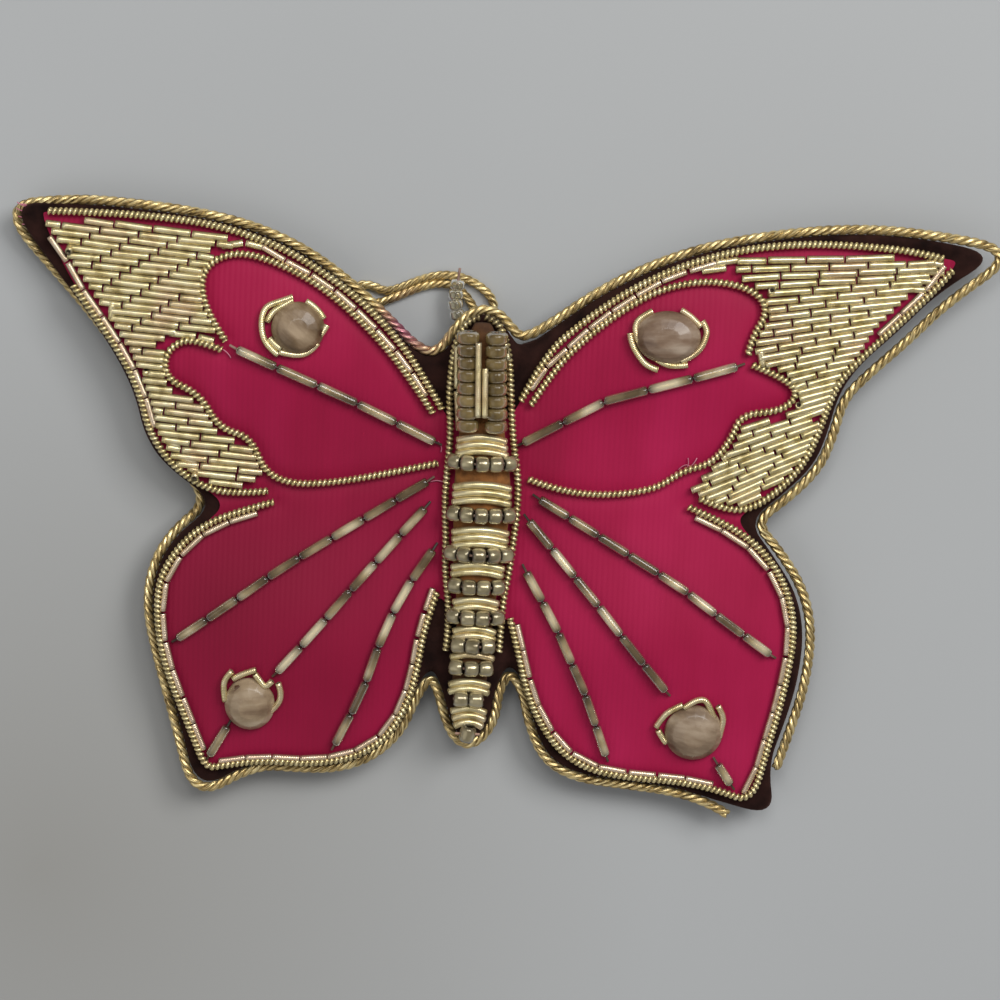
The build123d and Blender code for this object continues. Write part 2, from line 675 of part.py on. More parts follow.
def crossings(start, slope_deg, patch):
    """Where a sloping line through a spot crosses the sides of a patch, from left to right."""
    run = Vector(math.cos(math.radians(slope_deg)), math.sin(math.radians(slope_deg)), 0)
    origin = Vector(start[0], start[1], 0)
    found = []
    for first, second in zip(patch, patch[1:] + patch[:1]):
        side = Vector(second[0] - first[0], second[1] - first[1], 0)
        gap = Vector(first[0], first[1], 0) - origin
        spread = run.X * side.Y - run.Y * side.X
        if spread == 0:
            continue
        side_share = (gap.X * run.Y - gap.Y * run.X) / spread
        if 0 <= side_share < 1:
            found.append((gap.X * side.Y - gap.Y * side.X) / spread)
    return [origin + run * distance for distance in sorted(found)]


def fill_rows(side):
    """Rows of cut purl that cover the tip of a forewing."""
    (top_u, top_v), (low_u, low_v) = fill_spine_pixels[side]
    first_slope, last_slope = fill_slope_degs[side]
    count = round(math.hypot(low_u - top_u, low_v - top_v) * pixel_size / fill_pitch)
    solids = []
    for i in range(count):
        share = (i + 1 / 2) / count
        spine = (top_u + (low_u - top_u) * share, top_v + (low_v - top_v) * share)
        ends = crossings(spine, first_slope + (last_slope - first_slope) * share, fill_patch_pixels[side])
        for first, second in zip(ends[::2], ends[1::2]):
            route = [on_silk((first.X, first.Y), 0), on_silk((second.X, second.Y), 0)]
            first_length = fill_piece_length * (1 - i * fill_stagger_share % 1)
            for start, end in staggered(route, first_length):
                low, high = laid(start, end, fill_diameter)
                solids.append(rod(low, high, fill_diameter))
    return solids


def vein(stretches, length):
    """Bugle beads strung along the stretches of a vein, and their thread."""
    beads = []
    threads = []
    for spots in stretches:
        route = [on_silk(spot, 0) for spot in spots]
        runs = [laid(start, end, bugle_diameter) for start, end in pieces_along(route, length, bugle_gap)]
        for low, high in runs:
            ring = section(low, high, bugle_diameter, cord_sides)
            ring = ring - section(low, high, bugle_bore, cord_sides)
            beads.append(extrude(ring, amount=(high - low).length))
        first, first_end = runs[0]
        last_start, last = runs[-1]
        lift = thread_diameter / 2 + seat_gap
        stitch_in = raised(first + (first - first_end).normalized() * bugle_diameter, lift)
        stitch_out = raised(last + (last - last_start).normalized() * bugle_diameter, lift)
        between = [(before[1] + after[0]) / 2 for before, after in zip(runs, runs[1:])]
        threads.append(tube([stitch_in, first] + between + [last, stitch_out], thread_diameter))
    return beads, threads


def silk_plane(point, reach):
    """Plane along the silk at a place, lifted until the cloth within reach of the place is below it."""
    slope_x = (crown(point.X + lay_gap, point.Y) - crown(point.X - lay_gap, point.Y)) / (2 * lay_gap)
    slope_y = (crown(point.X, point.Y + lay_gap) - crown(point.X, point.Y - lay_gap)) / (2 * lay_gap)
    lift = 0
    for i in range(stone_sides):
        turn = 2 * math.pi * i / stone_sides
        x = reach * math.cos(turn)
        y = reach * math.sin(turn)
        lift = max(lift, crown(point.X + x, point.Y + y) - point.Z - slope_x * x - slope_y * y)
    return Plane(origin=point + Vector(0, 0, lift + seat_gap), x_dir=(1, 0, slope_x),
                 z_dir=(-slope_x, -slope_y, 1))


def stone(spot, half_axes):
    """Low domed stone with a flat back that sits on the silk."""
    half_length = half_axes[0] * pixel_size
    half_width = half_axes[1] * pixel_size
    plane = silk_plane(on_silk(spot, 0), half_length)
    heights = [0, stone_height / 4, stone_height * 3 / 4, stone_height]
    rings = []
    for height, share in zip(heights, stone_girdle_shares):
        ring = []
        for i in range(stone_sides):
            turn = 2 * math.pi * i / stone_sides
            along = half_length * share * math.cos(turn)
            across = half_width * share * math.sin(turn)
            ring.append(plane.from_local_coords(Vector(along, across, height)))
        rings.append(Wire.make_polygon(ring, close=True))
    return Solid.make_loft(rings, ruled=True)


def stone_ring(spot, half_axes, span_deg, count):
    """Bent purl pieces standing round a stone."""
    middle = on_silk(spot, 0)
    room = purl_diameter / 2 + stone_ring_gap
    first, last = (math.radians(angle) for angle in span_deg)
    pitch = (last - first) / count
    solids = []
    for i in range(count):
        trim = end_gap / (half_axes[0] * pixel_size)
        bend = []
        for share in (0, 1 / 3, 2 / 3, 1):
            turn = first + pitch * i + trim + (pitch - 2 * trim) * share
            flat = middle + Vector((half_axes[0] * pixel_size + room) * math.cos(turn),
                                   (half_axes[1] * pixel_size + room) * math.sin(turn), 0)
            bend.append(raised(flat, purl_diameter / 2 + seat_gap))
        solids.append(tube(bend, purl_diameter))
    return solids


nodes = {
    "back_cover": [back_cover], "wadding": [wadding], "front_cover": [front_cover], "body_core": [body_core],
    "edge_cord": [edge_cord], "hanging_loop": [hanging_loop], "loop_tack": [loop_tack],
    "antenna_beads": antenna_beads, "antenna_thread": [antenna_thread],
    "abdomen_beads": abdomen_beads, "abdomen_threads": abdomen_threads,
    "abdomen_purl_bands": [purl_band(spot_v) for spot_v in purl_band_pixels],
    "thorax_purl": thorax_purl, "thorax_threads": thorax_threads,
}
for side in ("left", "right"):
    lines = wing_line_pixels[side]
    nodes[f"{side}_forewing_edge_coil"] = [coil_tube(lines["forewing_edge"]),
                                           coil_tube(lines["forewing_side"])]
    nodes[f"{side}_forewing_cell_coil"] = [coil_tube(lines["cell_upper"]), coil_tube(lines["cell_lower"])]
    nodes[f"{side}_hindwing_edge_coil"] = [coil_tube(lines["hindwing_edge"])]
    nodes[f"{side}_body_coil"] = [coil_tube(lines["body"])]
    for wing, runs in purl_line_pixels[side].items():
        nodes[f"{side}_{wing}_purl"] = [piece for run in runs for piece in purl_pieces(run)]
    nodes[f"{side}_wing_tip_fill"] = fill_rows(side)
    nodes[f"{side}_thorax_beads"] = thorax_beads[side]
    for name, stretches in vein_pixels[side].items():
        length = forewing_bugle_length if name == "forewing" else hindwing_bugle_length
        beads, threads = vein(stretches, length)
        nodes[f"{side}_{name}_vein"] = beads
        nodes[f"{side}_{name}_vein_thread"] = threads
    for wing, (spot, half_axes) in stone_pixels[side].items():
        nodes[f"{side}_{wing}_stone"] = [stone(spot, half_axes)]
        nodes[f"{side}_{wing}_stone_ring"] = stone_ring(spot, half_axes, ring_span_degs[wing],
                                                        ring_pieces[wing])

os.makedirs("parts", exist_ok=True)
for name, solids in nodes.items():
    pieces = [solid for part in solids for solid in part.solids()]
    export_step(Compound(children=pieces), f"parts/{name}.step")

print("edge cord bend radii, mm:", [round(radius, 1) for radius in bend_radii(cord_route)])
print("hanging loop bend radii, mm:", [round(radius, 1) for radius in bend_radii(loop_route)])
loop_section = section(loop_route[0], loop_route[1], loop_cord_diameter, cord_sides).area
print("hanging loop length, mm:", round(hanging_loop.volume / loop_section, 1))
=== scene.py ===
"""Padded butterfly ornament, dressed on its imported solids: silk, velvet, cord, purl, beads and stones."""
import bmesh
import bpy
import math
import numpy as np
from mathutils import Matrix, Vector, geometry, kdtree, noise


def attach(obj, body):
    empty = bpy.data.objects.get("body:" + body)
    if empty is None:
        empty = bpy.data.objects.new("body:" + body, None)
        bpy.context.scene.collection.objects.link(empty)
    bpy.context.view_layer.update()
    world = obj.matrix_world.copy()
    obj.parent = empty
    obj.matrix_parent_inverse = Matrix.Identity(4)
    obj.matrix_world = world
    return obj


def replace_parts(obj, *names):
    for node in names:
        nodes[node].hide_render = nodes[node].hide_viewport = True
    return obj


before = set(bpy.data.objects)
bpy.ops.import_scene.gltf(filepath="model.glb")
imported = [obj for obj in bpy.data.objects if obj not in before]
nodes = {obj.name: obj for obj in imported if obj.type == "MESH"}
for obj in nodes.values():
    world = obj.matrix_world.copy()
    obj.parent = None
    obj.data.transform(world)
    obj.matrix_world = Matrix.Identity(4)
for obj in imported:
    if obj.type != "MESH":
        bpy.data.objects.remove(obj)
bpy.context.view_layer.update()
mm = 0.001

# The photograph: its width, the pixel of the origin, the scale, and the camera's turn, lean and distance
photo_width_pixels = 1000
photo_centre_pixels = (475.5, 506)
span_pixels = 958
wing_span = 150 * mm
pixel_size = wing_span / span_pixels
photo_turn = math.radians(2.5)
photo_lean = math.radians(12)
view_distance = 500 * mm
sensor_width = 36.0

# Driving dimensions of the padded form
seam_height = 5.4 * mm
rim_height = 6.6 * mm
rim_inset = 0.35 * mm
rim_drop = 0.45 * mm
top_inset = 1.0 * mm
velvet_depth = 0.3 * mm
pad_rise = 2.8 * mm
cord_reach = 0.72 * mm
seat_gap = 0.2 * mm
pad_centre_pixels = {"left_forewing": (265, 350), "right_forewing": (705, 350),
                     "left_hindwing": (290, 630), "right_hindwing": (655, 640)}
pad_length = 0.13 * wing_span
pad_width = 0.09 * wing_span
draw_in_along_share = 0.13
draw_in_across_share = 0.28
loop_room_stretch = "left_forewing_top"
loop_room_across_share = 0.4
side_ring_shares = [(0.0, 0.0), (0.12, 0.16), (0.35, 0.42), (0.6, 0.68), (0.82, 0.9), (1.0, 1.0)]

# Cloth: its flat size, how finely it is meshed, the pull along the sewn lines and its unevenness
cloth_pitch = 1.0 * mm
velvet_pitch = 1.5 * mm
back_pitch = 3.0 * mm
edge_room_share = 0.55
felt_voxel = 0.45 * mm
felt_softening = 6
weld_distance = mm / 1000
fill_tolerance = mm / 1e5
sewn_depth = 0.4 * mm
sewn_reach = 1.5 * mm
ripple = 0.12 * mm
ripple_size = 9 * mm

# Cords and metal thread; a mouth is the open end of a piece of purl
edge_cord_radius = 0.8 * mm
cord_lay = 4.2 * mm
loop_cord_radius = 0.7 * mm
loop_lay = 3.4 * mm
loop_height = 0.75 * mm
rope_strands = 3
rope_step = 0.3 * mm
strand_sides = 8
strand_squeeze_share = 1.12
coil_radius = 0.62 * mm
coil_pitch = 0.78 * mm
coil_groove = 0.3 * mm
coil_sides = 10
coil_steps = 8
purl_radius = 0.5 * mm
purl_step = 0.5 * mm
purl_mouth = 0.3 * mm
purl_sides = 8
bent_step = 0.35 * mm
band_radius = 0.6 * mm
band_droop = 0.8 * mm
band_points = 17
ring_lift = 0.9 * mm
side_purl_height = 8.7 * mm
fill_radius = 0.58 * mm
fill_stretch = 0.9 * mm
fill_joint = 0.6 * mm
fill_uneven = 0.2 * mm
uneven_size = 2.3 * mm
thread_radius = 0.09 * mm
thread_sides = 5
mouth_share = 0.55
steep_share = 0.05
spline_steps = 8
# Painted shade: how the strands darken towards the rope's middle, and how pale a tube's top is against its
# sides
strand_dark_share = 0.4
strand_fade_share = 0.5
top_light_share = 0.6

# Beads and stones; a seed bead is as long as its length and the room up to its neighbour allow
bugle_radius = 0.75 * mm
bugle_reach = 0.28 * mm
bugle_step = 0.3 * mm
bugle_sides = 10
bugle_end_share = 0.82
lining_share = 0.62
bead_radii = {"abdomen": 1.25 * mm, "thorax": 1.75 * mm, "antenna": 1.15 * mm}
bead_lengths = {"abdomen": 2.5 * mm, "thorax": 1.98 * mm, "antenna": 1.5 * mm}
bead_room_share = 0.98
bead_shoulder_share = 0.26
bead_rings = 9
bead_sides = 12
stone_growth_shares = {"left_forewing": (1.02, 1.02), "right_forewing": (1.02, 1.02),
                       "left_hindwing": (1.17, 1.28), "right_hindwing": (1.1, 1.15)}
stone_shift = {"left_hindwing": 0.6 * mm, "right_hindwing": 0.7 * mm}
facet_radius = 1.3 * mm
facet_height = 1.5 * mm
facet_sides = 7
stone_rounding = 2

# Fine textures: how far apart the ribs and turns lie, and how deep each texture is
silk_rib = 0.829 * mm
silk_rib_depth = 0.06 * mm
silk_grain_depth = 0.05 * mm
velvet_nap_depth = 0.2 * mm
ply_depth = 0.2 * mm
purl_turn = 0.27 * mm
purl_turn_depth = 0.1 * mm
stone_flaw_depth = 0.08 * mm
felt_fuzz_depth = 0.2 * mm
thread_twist_depth = 0.1 * mm

# Stains and painted shade: the pixel in the middle of each, and how far it reaches. The silk's and the
# floor's are painted shade, the tail's is partly darker cloth and partly painted shade, the cord's is a
# stain, and the coil's and the head's darken round the top of the head
stain_and_shade_pixels = {"silk": (220, 600), "cord": (412, 322), "coil": (484, 318), "head": (484, 318),
                "tail": (470, 700), "floor": (40, 870)}
stain_and_shade_reach = {"silk": 42 * mm, "cord": 6.5 * mm, "coil": 4.5 * mm, "head": 10 * mm,
               "tail": 18 * mm, "floor": 100 * mm}

# Studio: the floor's half width, each lamp's place and width, all in metres, and the lamp's power in watts
floor_half_width = 3.0
lamps = {"key_light": ((0.45, 0.5, 0.7), 0.42, 5.2),
         "glint_light": ((-0.02, 0.45, 0.75), 0.32, 2.0),
         "fill_light": ((-0.6, -0.2, 0.7), 0.8, 1.15)}
world_colour = (0.95, 0.95, 0.97)
world_strength = 0.27

# Seam outline, clockwise from the head, in named stretches
seam_pixels = {
    "head": [(463, 325), (480, 313), (497, 317), (508, 331)],
    "right_shoulder": [(521, 350)],
    "right_forewing_top": [(556, 326), (592, 301), (640, 275), (700, 253), (770, 240), (850, 233),
                           (925, 238)],
    "right_tip": [(1000, 255)],
    "right_forewing_side": [(938, 293), (900, 330), (858, 366)],
    "right_forewing_low": [(838, 396), (828, 432), (815, 464), (785, 493)],
    "right_waist": [(748, 521)],
    "right_hindwing": [(773, 555), (796, 592), (804, 632), (798, 680), (785, 722), (768, 765)],
    "right_tail": [(775, 817)],
    "right_hem": [(712, 802), (672, 789), (625, 783), (575, 776), (545, 758), (530, 722), (525, 690)],
    "right_vent": [(509, 660)],
    "abdomen": [(494, 690), (491, 716), (480, 734), (467, 741), (456, 732), (448, 712), (443, 690)],
    "left_vent": [(431, 664)],
    "left_hem": [(414, 698), (402, 728), (375, 754), (340, 767), (300, 767), (255, 763)],
    "left_tail": [(197, 792)],
    "left_hindwing": [(180, 722), (163, 660), (152, 612), (155, 572), (174, 536)],
    "left_waist": [(217, 503)],
    "left_forewing_side": [(164, 465), (144, 433), (136, 397), (120, 362), (94, 321), (60, 275)],
    "left_tip": [(6, 202)],
    "left_forewing_top": [(75, 203), (135, 208), (195, 216), (250, 229), (300, 251), (345, 283), (385, 321),
                          (415, 352)],
    "left_shoulder": [(440, 359)],
}
# Stretches on each side that belong to a wing
wing_stretches = {"forewing": ("forewing_top", "tip", "forewing_side", "forewing_low"),
                  "hindwing": ("hindwing", "tail", "hem")}
stretch_wings = {f"{side}_{stretch}": f"{side}_{wing}" for side in ("left", "right")
                 for wing, stretches in wing_stretches.items() for stretch in stretches}
# Edge of the back under the head, drawn in to leave the hanging loop room to swing
back_head_pixels = [(473, 352), (481, 349), (489, 349), (498, 353)]
# Where the cord stands off the seam, where it has slipped below it, and where the cloth is tucked in
cord_slack = {"right_tip": 0.5 * mm, "right_forewing_side": 1.3 * mm, "right_forewing_low": 0.2 * mm,
              "right_hindwing": 0.5 * mm, "right_shoulder": 0.5 * mm, "right_vent": 0.1 * mm,
              "left_vent": 0.1 * mm, "left_tip": 0.3 * mm}
cord_drop = {"left_waist": 2.4 * mm, "left_forewing_side": 2.4 * mm, "left_tip": 1.6 * mm}
hem_tuck = {"left_hem": 0.55 * mm, "right_hem": 0.45 * mm}
# Loose ends of the cord at the right tail
cord_start_pixels = (727, 814)
cord_end_pixels = (776, 768)

# Embroidered outlines on the silk, from the body outwards
wing_line_pixels = {
    "left": {
        "forewing_edge": [(442, 409), (416, 363), (382, 321), (349, 291), (316, 268), (283, 248), (240, 232),
                          (200, 222), (150, 216), (95, 212), (48, 211)],
        "forewing_side": [(73, 285), (99, 321), (126, 362), (141, 396), (149, 431), (170, 463), (202, 487),
                          (235, 494), (268, 491)],
        "cell_upper": [(433, 413), (411, 380), (386, 347), (352, 312), (318, 284), (276, 262), (241, 252),
                       (214, 259), (201, 277), (204, 303), (218, 330), (226, 341)],
        "cell_lower": [(222, 350), (207, 344), (184, 339), (165, 353), (166, 379), (200, 394), (219, 428),
                       (251, 437), (264, 471), (290, 484), (330, 483), (380, 475), (438, 463)],
        "hindwing_edge": [(274, 502), (232, 513), (201, 527), (177, 549), (160, 578), (157, 608), (160, 643),
                          (169, 675), (181, 706), (195, 741), (206, 768), (224, 765), (262, 760), (312, 764),
                          (356, 757), (388, 737), (408, 703), (418, 666), (424, 628), (437, 592)],
        "body": [(480, 317), (468, 321), (460, 333), (453, 354), (449, 396), (451, 436), (446, 481),
                 (445, 507), (446, 540), (445, 573), (450, 613), (446, 650)],
    },
    "right": {
        "forewing_edge": [(521, 401), (545, 355), (582, 323), (630, 290), (682, 266), (740, 250), (801, 244),
                          (862, 246), (918, 252), (944, 259)],
        "forewing_side": [(953, 270), (938, 287), (900, 323), (860, 359), (838, 383), (828, 406),
                          (818, 434), (805, 462), (780, 490), (748, 511), (720, 508), (699, 498)],
        "cell_upper": [(531, 405), (554, 370), (585, 339), (623, 310), (659, 290), (699, 281), (736, 284),
                       (761, 296), (767, 314), (752, 337), (748, 355)],
        "cell_lower": [(752, 365), (785, 378), (799, 394), (782, 411), (741, 414), (731, 440), (711, 464),
                       (682, 471), (655, 490), (602, 496), (556, 490), (528, 479)],
        "hindwing_edge": [(688, 507), (725, 523), (755, 543), (778, 571), (791, 603), (794, 636), (788, 672),
                          (779, 710), (767, 749), (752, 803), (716, 789), (677, 781), (635, 778), (593, 771),
                          (563, 754), (541, 725), (527, 692), (519, 655), (510, 618)],
        "body": [(485, 317), (496, 321), (504, 334), (510, 360), (511, 398), (513, 440), (518, 475),
                 (518, 504), (514, 538), (509, 573), (502, 605), (499, 652)],
    },
}
# Corners of the silk between those outlines
silk_corner_pixels = {
    "left": {"tip": [(40, 214)], "waist": [(226, 505)], "body": [(452, 424)], "tail": [(452, 612)]},
    "right": {"tip": [(957, 261)], "waist": [(737, 521)], "body": [(507, 424)], "tail": [(498, 622)]},
}
# Bent purl round each stone, piece by piece
stone_ring_pixels = {
    "left_forewing": [[(293, 297), (278, 302), (266, 306), (261, 318), (262, 335), (268, 347), (278, 355)],
                      [(293, 300), (280, 307), (271, 313), (267, 322)],
                      [(279, 352), (295, 356), (310, 353), (318, 343)],
                      [(306, 301), (318, 308), (324, 319)],
                      [(327, 325), (322, 335), (310, 344), (304, 347)],
                      [(269, 338), (274, 345), (281, 349)]],
    "right_forewing": [[(653, 311), (641, 317), (635, 325), (636, 337), (643, 347), (650, 353)],
                       [(630, 333), (631, 343), (639, 357), (648, 367), (658, 370)],
                       [(650, 354), (660, 362), (673, 367), (688, 365)],
                       [(702, 321), (708, 329), (705, 341), (700, 350), (690, 358), (681, 361)],
                       [(681, 310), (692, 316), (701, 327)]],
    "left_hindwing": [[(232, 671), (225, 678), (223, 688), (225, 701)],
                      [(233, 679), (243, 673), (256, 670)],
                      [(255, 674), (262, 684), (266, 688), (272, 681)],
                      [(278, 683), (282, 693), (278, 706), (267, 714)]],
    "right_hindwing": [[(656, 727), (663, 716), (673, 709), (683, 705)],
                       [(658, 730), (661, 737), (666, 743)],
                       [(684, 708), (694, 701), (704, 699), (709, 705), (714, 718)],
                       [(718, 706), (724, 716), (722, 727), (719, 738)]],
}

# Short purl that fills the corners between the tip fill and the coils
gap_purl_pixels = {
    "left": [[(222, 246), (243, 243)], [(246, 243), (262, 247)], [(170, 333), (196, 336)],
             [(199, 337), (214, 341)], [(166, 440), (180, 446)], [(176, 455), (196, 462)],
             [(188, 468), (206, 474)]],
    "right": [[(716, 263), (738, 260)], [(702, 271), (726, 268)], [(926, 262), (943, 265)],
              [(920, 271), (944, 273)], [(912, 280), (937, 282)], [(906, 289), (926, 290)],
              [(797, 415), (815, 411)], [(702, 479), (722, 471)], [(712, 469), (728, 462)],
              [(722, 459), (735, 451)]],
}
# Purl on the thorax: how far up each middle piece runs, and the pieces along its sides
thorax_top_shares = [1.0, 0.66]
side_purl_pixels = [[(457, 346), (457, 388)], [(457, 391), (459, 430)], [(504, 338), (508, 360)]]
# Loose threads on the silk and frayed cloth at the left tip
loose_thread_pixels = [[(678, 470), (685, 463), (692, 468), (697, 458)],
                       [(684, 474), (690, 466), (688, 458)], [(222, 349), (228, 352), (231, 358)],
                       [(438, 441), (443, 446), (441, 452)], [(430, 482), (437, 479), (443, 482)]]
fray_pixels = [[(30, 207), (22, 206), (17, 202)], [(29, 211), (22, 212), (16, 208)],
               [(31, 214), (24, 219), (18, 216)], [(33, 218), (27, 226), (22, 224)],
               [(32, 209), (25, 203), (21, 204)]]
# Two small facets above the stone of the left hindwing
facet_pixels = [(239, 689), (261, 697)]

# Hanging loop, from one end under the head to the other
loop_pixels = [(478, 316), (472, 304), (464, 293), (453, 285), (437, 283), (420, 287), (403, 294),
               (388, 300), (373, 304), (360, 302), (354, 293), (359, 284), (372, 285), (386, 292),
               (402, 287), (419, 280), (437, 275), (454, 275), (470, 280), (483, 288), (492, 298),
               (495, 309), (490, 317)]


def place(spot, height):
    """Turn a photograph pixel into the point that it shows at the given height."""
    right = (spot[0] - photo_centre_pixels[0]) * pixel_size
    up = (photo_centre_pixels[1] - spot[1]) * pixel_size
    across = right * math.cos(photo_turn) - up * math.sin(photo_turn)
    along = right * math.sin(photo_turn) + up * math.cos(photo_turn)
    eye = Vector((0, view_distance * math.sin(photo_lean), view_distance * math.cos(photo_lean)))
    seen = Vector((across, along * math.cos(photo_lean), -along * math.sin(photo_lean)))
    return eye + (seen - eye) * ((eye.z - height) / (eye.z - seen.z))


pad_centres = {wing: place(spot, rim_height) for wing, spot in pad_centre_pixels.items()}


def crown(x, y):
    """Height of the silk: a flat rim with one soft swelling on each wing."""
    height = rim_height
    for centre in pad_centres.values():
        along = (x - centre.x) / pad_length
        across = (y - centre.y) / pad_width
        height += pad_rise * math.exp(-along ** 2 - across ** 2)
    return height


def on_silk(spot, lift):
    """Point that a pixel shows when it stands a little above the silk."""
    point = place(spot, rim_height)
    for _ in range(3):
        point = place(spot, crown(point.x, point.y) + lift)
    return point


def mitred(points, offsets):
    """Move each corner of a clockwise outline outwards by its own offset."""
    moved = []
    count = len(points)
    for i, offset in enumerate(offsets):
        before = (points[i] - points[i - 1]).normalized()
        after = (points[(i + 1) % count] - points[i]).normalized()
        mitre = Vector((-before.y - after.y, before.x + after.x, 0))
        moved.append(points[i] + mitre * (offset * 2 / mitre.length_squared))
    return moved


# Camera at the photograph's angle
def make_camera():
    """Camera that shows the origin at its pixel, turned and leaning as the photograph was taken."""
    data = bpy.data.cameras.new("photo_camera")
    data.sensor_width = sensor_width
    data.lens = sensor_width * view_distance / (pixel_size * photo_width_pixels)
    half = photo_width_pixels / 2
    data.shift_x = (half - photo_centre_pixels[0]) / photo_width_pixels
    data.shift_y = (photo_centre_pixels[1] - half) / photo_width_pixels
    data.clip_start = view_distance / 100
    camera = bpy.data.objects.new("photo_camera", data)
    bpy.context.collection.objects.link(camera)
    upright = Vector((0, math.cos(photo_lean), -math.sin(photo_lean)))
    level = Vector((1, 0, 0))
    right = level * math.cos(photo_turn) + upright * math.sin(photo_turn)
    up = upright * math.cos(photo_turn) - level * math.sin(photo_turn)
    back = right.cross(up)
    camera.matrix_world = Matrix((right, up, back)).transposed().to_4x4()
    camera.location = back * view_distance
    bpy.context.scene.camera = camera


make_camera()


# Curves and swept meshes
def spline_points(points, closed=False):
    """Points along the NURBS spline that has the given control points."""
    curve = bpy.data.curves.new("route", "CURVE")
    curve.dimensions = "3D"
    curve.resolution_u = spline_steps
    spline = curve.splines.new("NURBS")
    spline.points.add(len(points) - 1)
    for point, corner in zip(spline.points, points):
        point.co = (*corner, 1)
    spline.order_u = 3
    spline.use_endpoint_u = not closed
    spline.use_cyclic_u = closed
    holder = bpy.data.objects.new("route", curve)
    line = bpy.data.meshes.new_from_object(holder)
    found = np.array([vertex.co for vertex in line.vertices])
    bpy.data.objects.remove(holder)
    bpy.data.curves.remove(curve)
    bpy.data.meshes.remove(line)
    return found


def spaced(points, step):
    """The same line with points an even step apart."""
    points = np.asarray(points)
    reach = np.concatenate([[0], np.cumsum(np.linalg.norm(np.diff(points, axis=0), axis=1))])
    places = np.linspace(0, reach[-1], max(3, int(reach[-1] / step) + 1))
    return np.column_stack([np.interp(places, reach, points[:, axis]) for axis in range(3)]), places


def side_and_top(points):
    """Directions across and above a line at each of its points."""
    run = np.gradient(points, axis=0)
    run /= np.linalg.norm(run, axis=1)[:, None]
    side = np.cross(run, np.array([0, 0, 1.0]))
    flat = np.linalg.norm(side, axis=1)[:, None]
    side = np.where(flat > steep_share, side / np.maximum(flat, steep_share), np.array([1.0, 0, 0]))
    return side, np.cross(side, run)


class Pieces:
    """Collects tubes into one mesh, with millimetres along U, turns along V and a shade at each point."""

    def __init__(self):
        self.points = []
        self.shades = []
        self.faces = []
        self.marks = []
        self.count = 0

    def tube(self, points, places, radii, sides, hollow=0.0, shade=1.0, middle=None):
        """Add a tube of rings; hollow is how deep its mouths are, painted shade darkens the mouths, and a
        strand gets painted shade towards a middle.
        """
        side, top = side_and_top(points)
        count = len(points)
        turns = 2 * np.pi * np.arange(sides)[None, :, None] / sides
        radii = np.broadcast_to(np.asarray(radii, dtype=float).reshape(count, -1), (count, sides))
        spokes = side[:, None, :] * np.cos(turns) + top[:, None, :] * np.sin(turns)
        rings = points[:, None, :] + radii[:, :, None] * spokes
        shades = np.broadcast_to(np.asarray(shade, dtype=float), radii.shape)
        if middle is not None:
            away = np.linalg.norm(rings - middle[:, None, :], axis=2)
            shades = np.clip((away / away.max() - strand_dark_share) / strand_fade_share, 0, 1)
        rings = list(rings)
        shades = list(shades)
        along = list(places / mm)
        if hollow:
            run = (points[1] - points[0]) / np.linalg.norm(points[1] - points[0])
            last = (points[-1] - points[-2]) / np.linalg.norm(points[-1] - points[-2])
            first_lip = points[0] + radii[0][:, None] * spokes[0] * mouth_share
            last_lip = points[-1] + radii[-1][:, None] * spokes[-1] * mouth_share
            rings = [first_lip + run * hollow, first_lip] + rings + [last_lip, last_lip - last * hollow]
            along = [along[0], along[0]] + along + [along[-1], along[-1]]
            mouth = np.zeros(sides)
            shades = [mouth, shades[0] / 2] + shades + [shades[-1] / 2, mouth]
        base = self.count
        for ring, ring_shades in zip(rings, shades):
            self.points.append(ring)
            self.shades.append(ring_shades)
            self.count += sides
        for i in range(len(rings) - 1):
            low = base + i * sides
            for k in range(sides):
                n = (k + 1) % sides
                self.faces.append((low + k, low + n, low + sides + n, low + sides + k))
                self.marks += [(along[i], k / sides), (along[i], (k + 1) / sides),
                               (along[i + 1], (k + 1) / sides), (along[i + 1], k / sides)]
        end = base + (len(rings) - 1) * sides
        self.faces.append(tuple(base + k for k in reversed(range(sides))))
        self.faces.append(tuple(end + k for k in range(sides)))
        self.marks += [(along[0], 0)] * sides + [(along[-1], 0)] * sides

    def finish(self, name, look, body="butterfly"):
        """Make the object, give it a material and let it ride on its body."""
        mesh = smooth_mesh(name, np.concatenate(self.points).tolist(), self.faces)
        layer = mesh.uv_layers.new(name="UVMap")
        layer.data.foreach_set("uv", np.array(self.marks, dtype=np.float32).ravel())
        shade = mesh.attributes.new("shade", "FLOAT", "POINT")
        shade.data.foreach_set("value", np.concatenate(self.shades).astype(np.float32))
        return add_piece(name, mesh, look, body)


def smooth_mesh(name, points, faces):
    """Mesh with smooth shading."""
    mesh = bpy.data.meshes.new(name)
    mesh.from_pydata(points, [], faces)
    mesh.shade_smooth()
    return mesh


def add_piece(name, mesh, look, body="butterfly"):
    """Put a mesh in the scene as a piece that rides on a body."""
    piece = bpy.data.objects.new(name, mesh)
    bpy.context.collection.objects.link(piece)
    mesh.materials.append(look)
    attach(piece, body)
    return piece


def top_lit(sides):
    """Shades round a tube that lies on the cloth: pale on top and dark towards its neighbours."""
    height = np.sin(2 * np.pi * np.arange(sides) / sides)
    return np.clip(top_light_share + (1 - top_light_share) * height, 0, 1)[None, :]


def rope(pieces, line, radius, lay):
    """Twist strands round a line; each strand has painted shade towards the rope's middle."""
    points, places = spaced(line, rope_step)
    side, top = side_and_top(points)
    strand_radius = radius / (1 + 1 / math.sin(math.pi / rope_strands)) * strand_squeeze_share
    offset = radius - strand_radius
    for i in range(rope_strands):
        turn = 2 * np.pi * (places / lay + i / rope_strands)[:, None]
        strand = points + offset * (side * np.cos(turn) + top * np.sin(turn))
        pieces.tube(strand, places, np.full(len(points), strand_radius), strand_sides, middle=points)


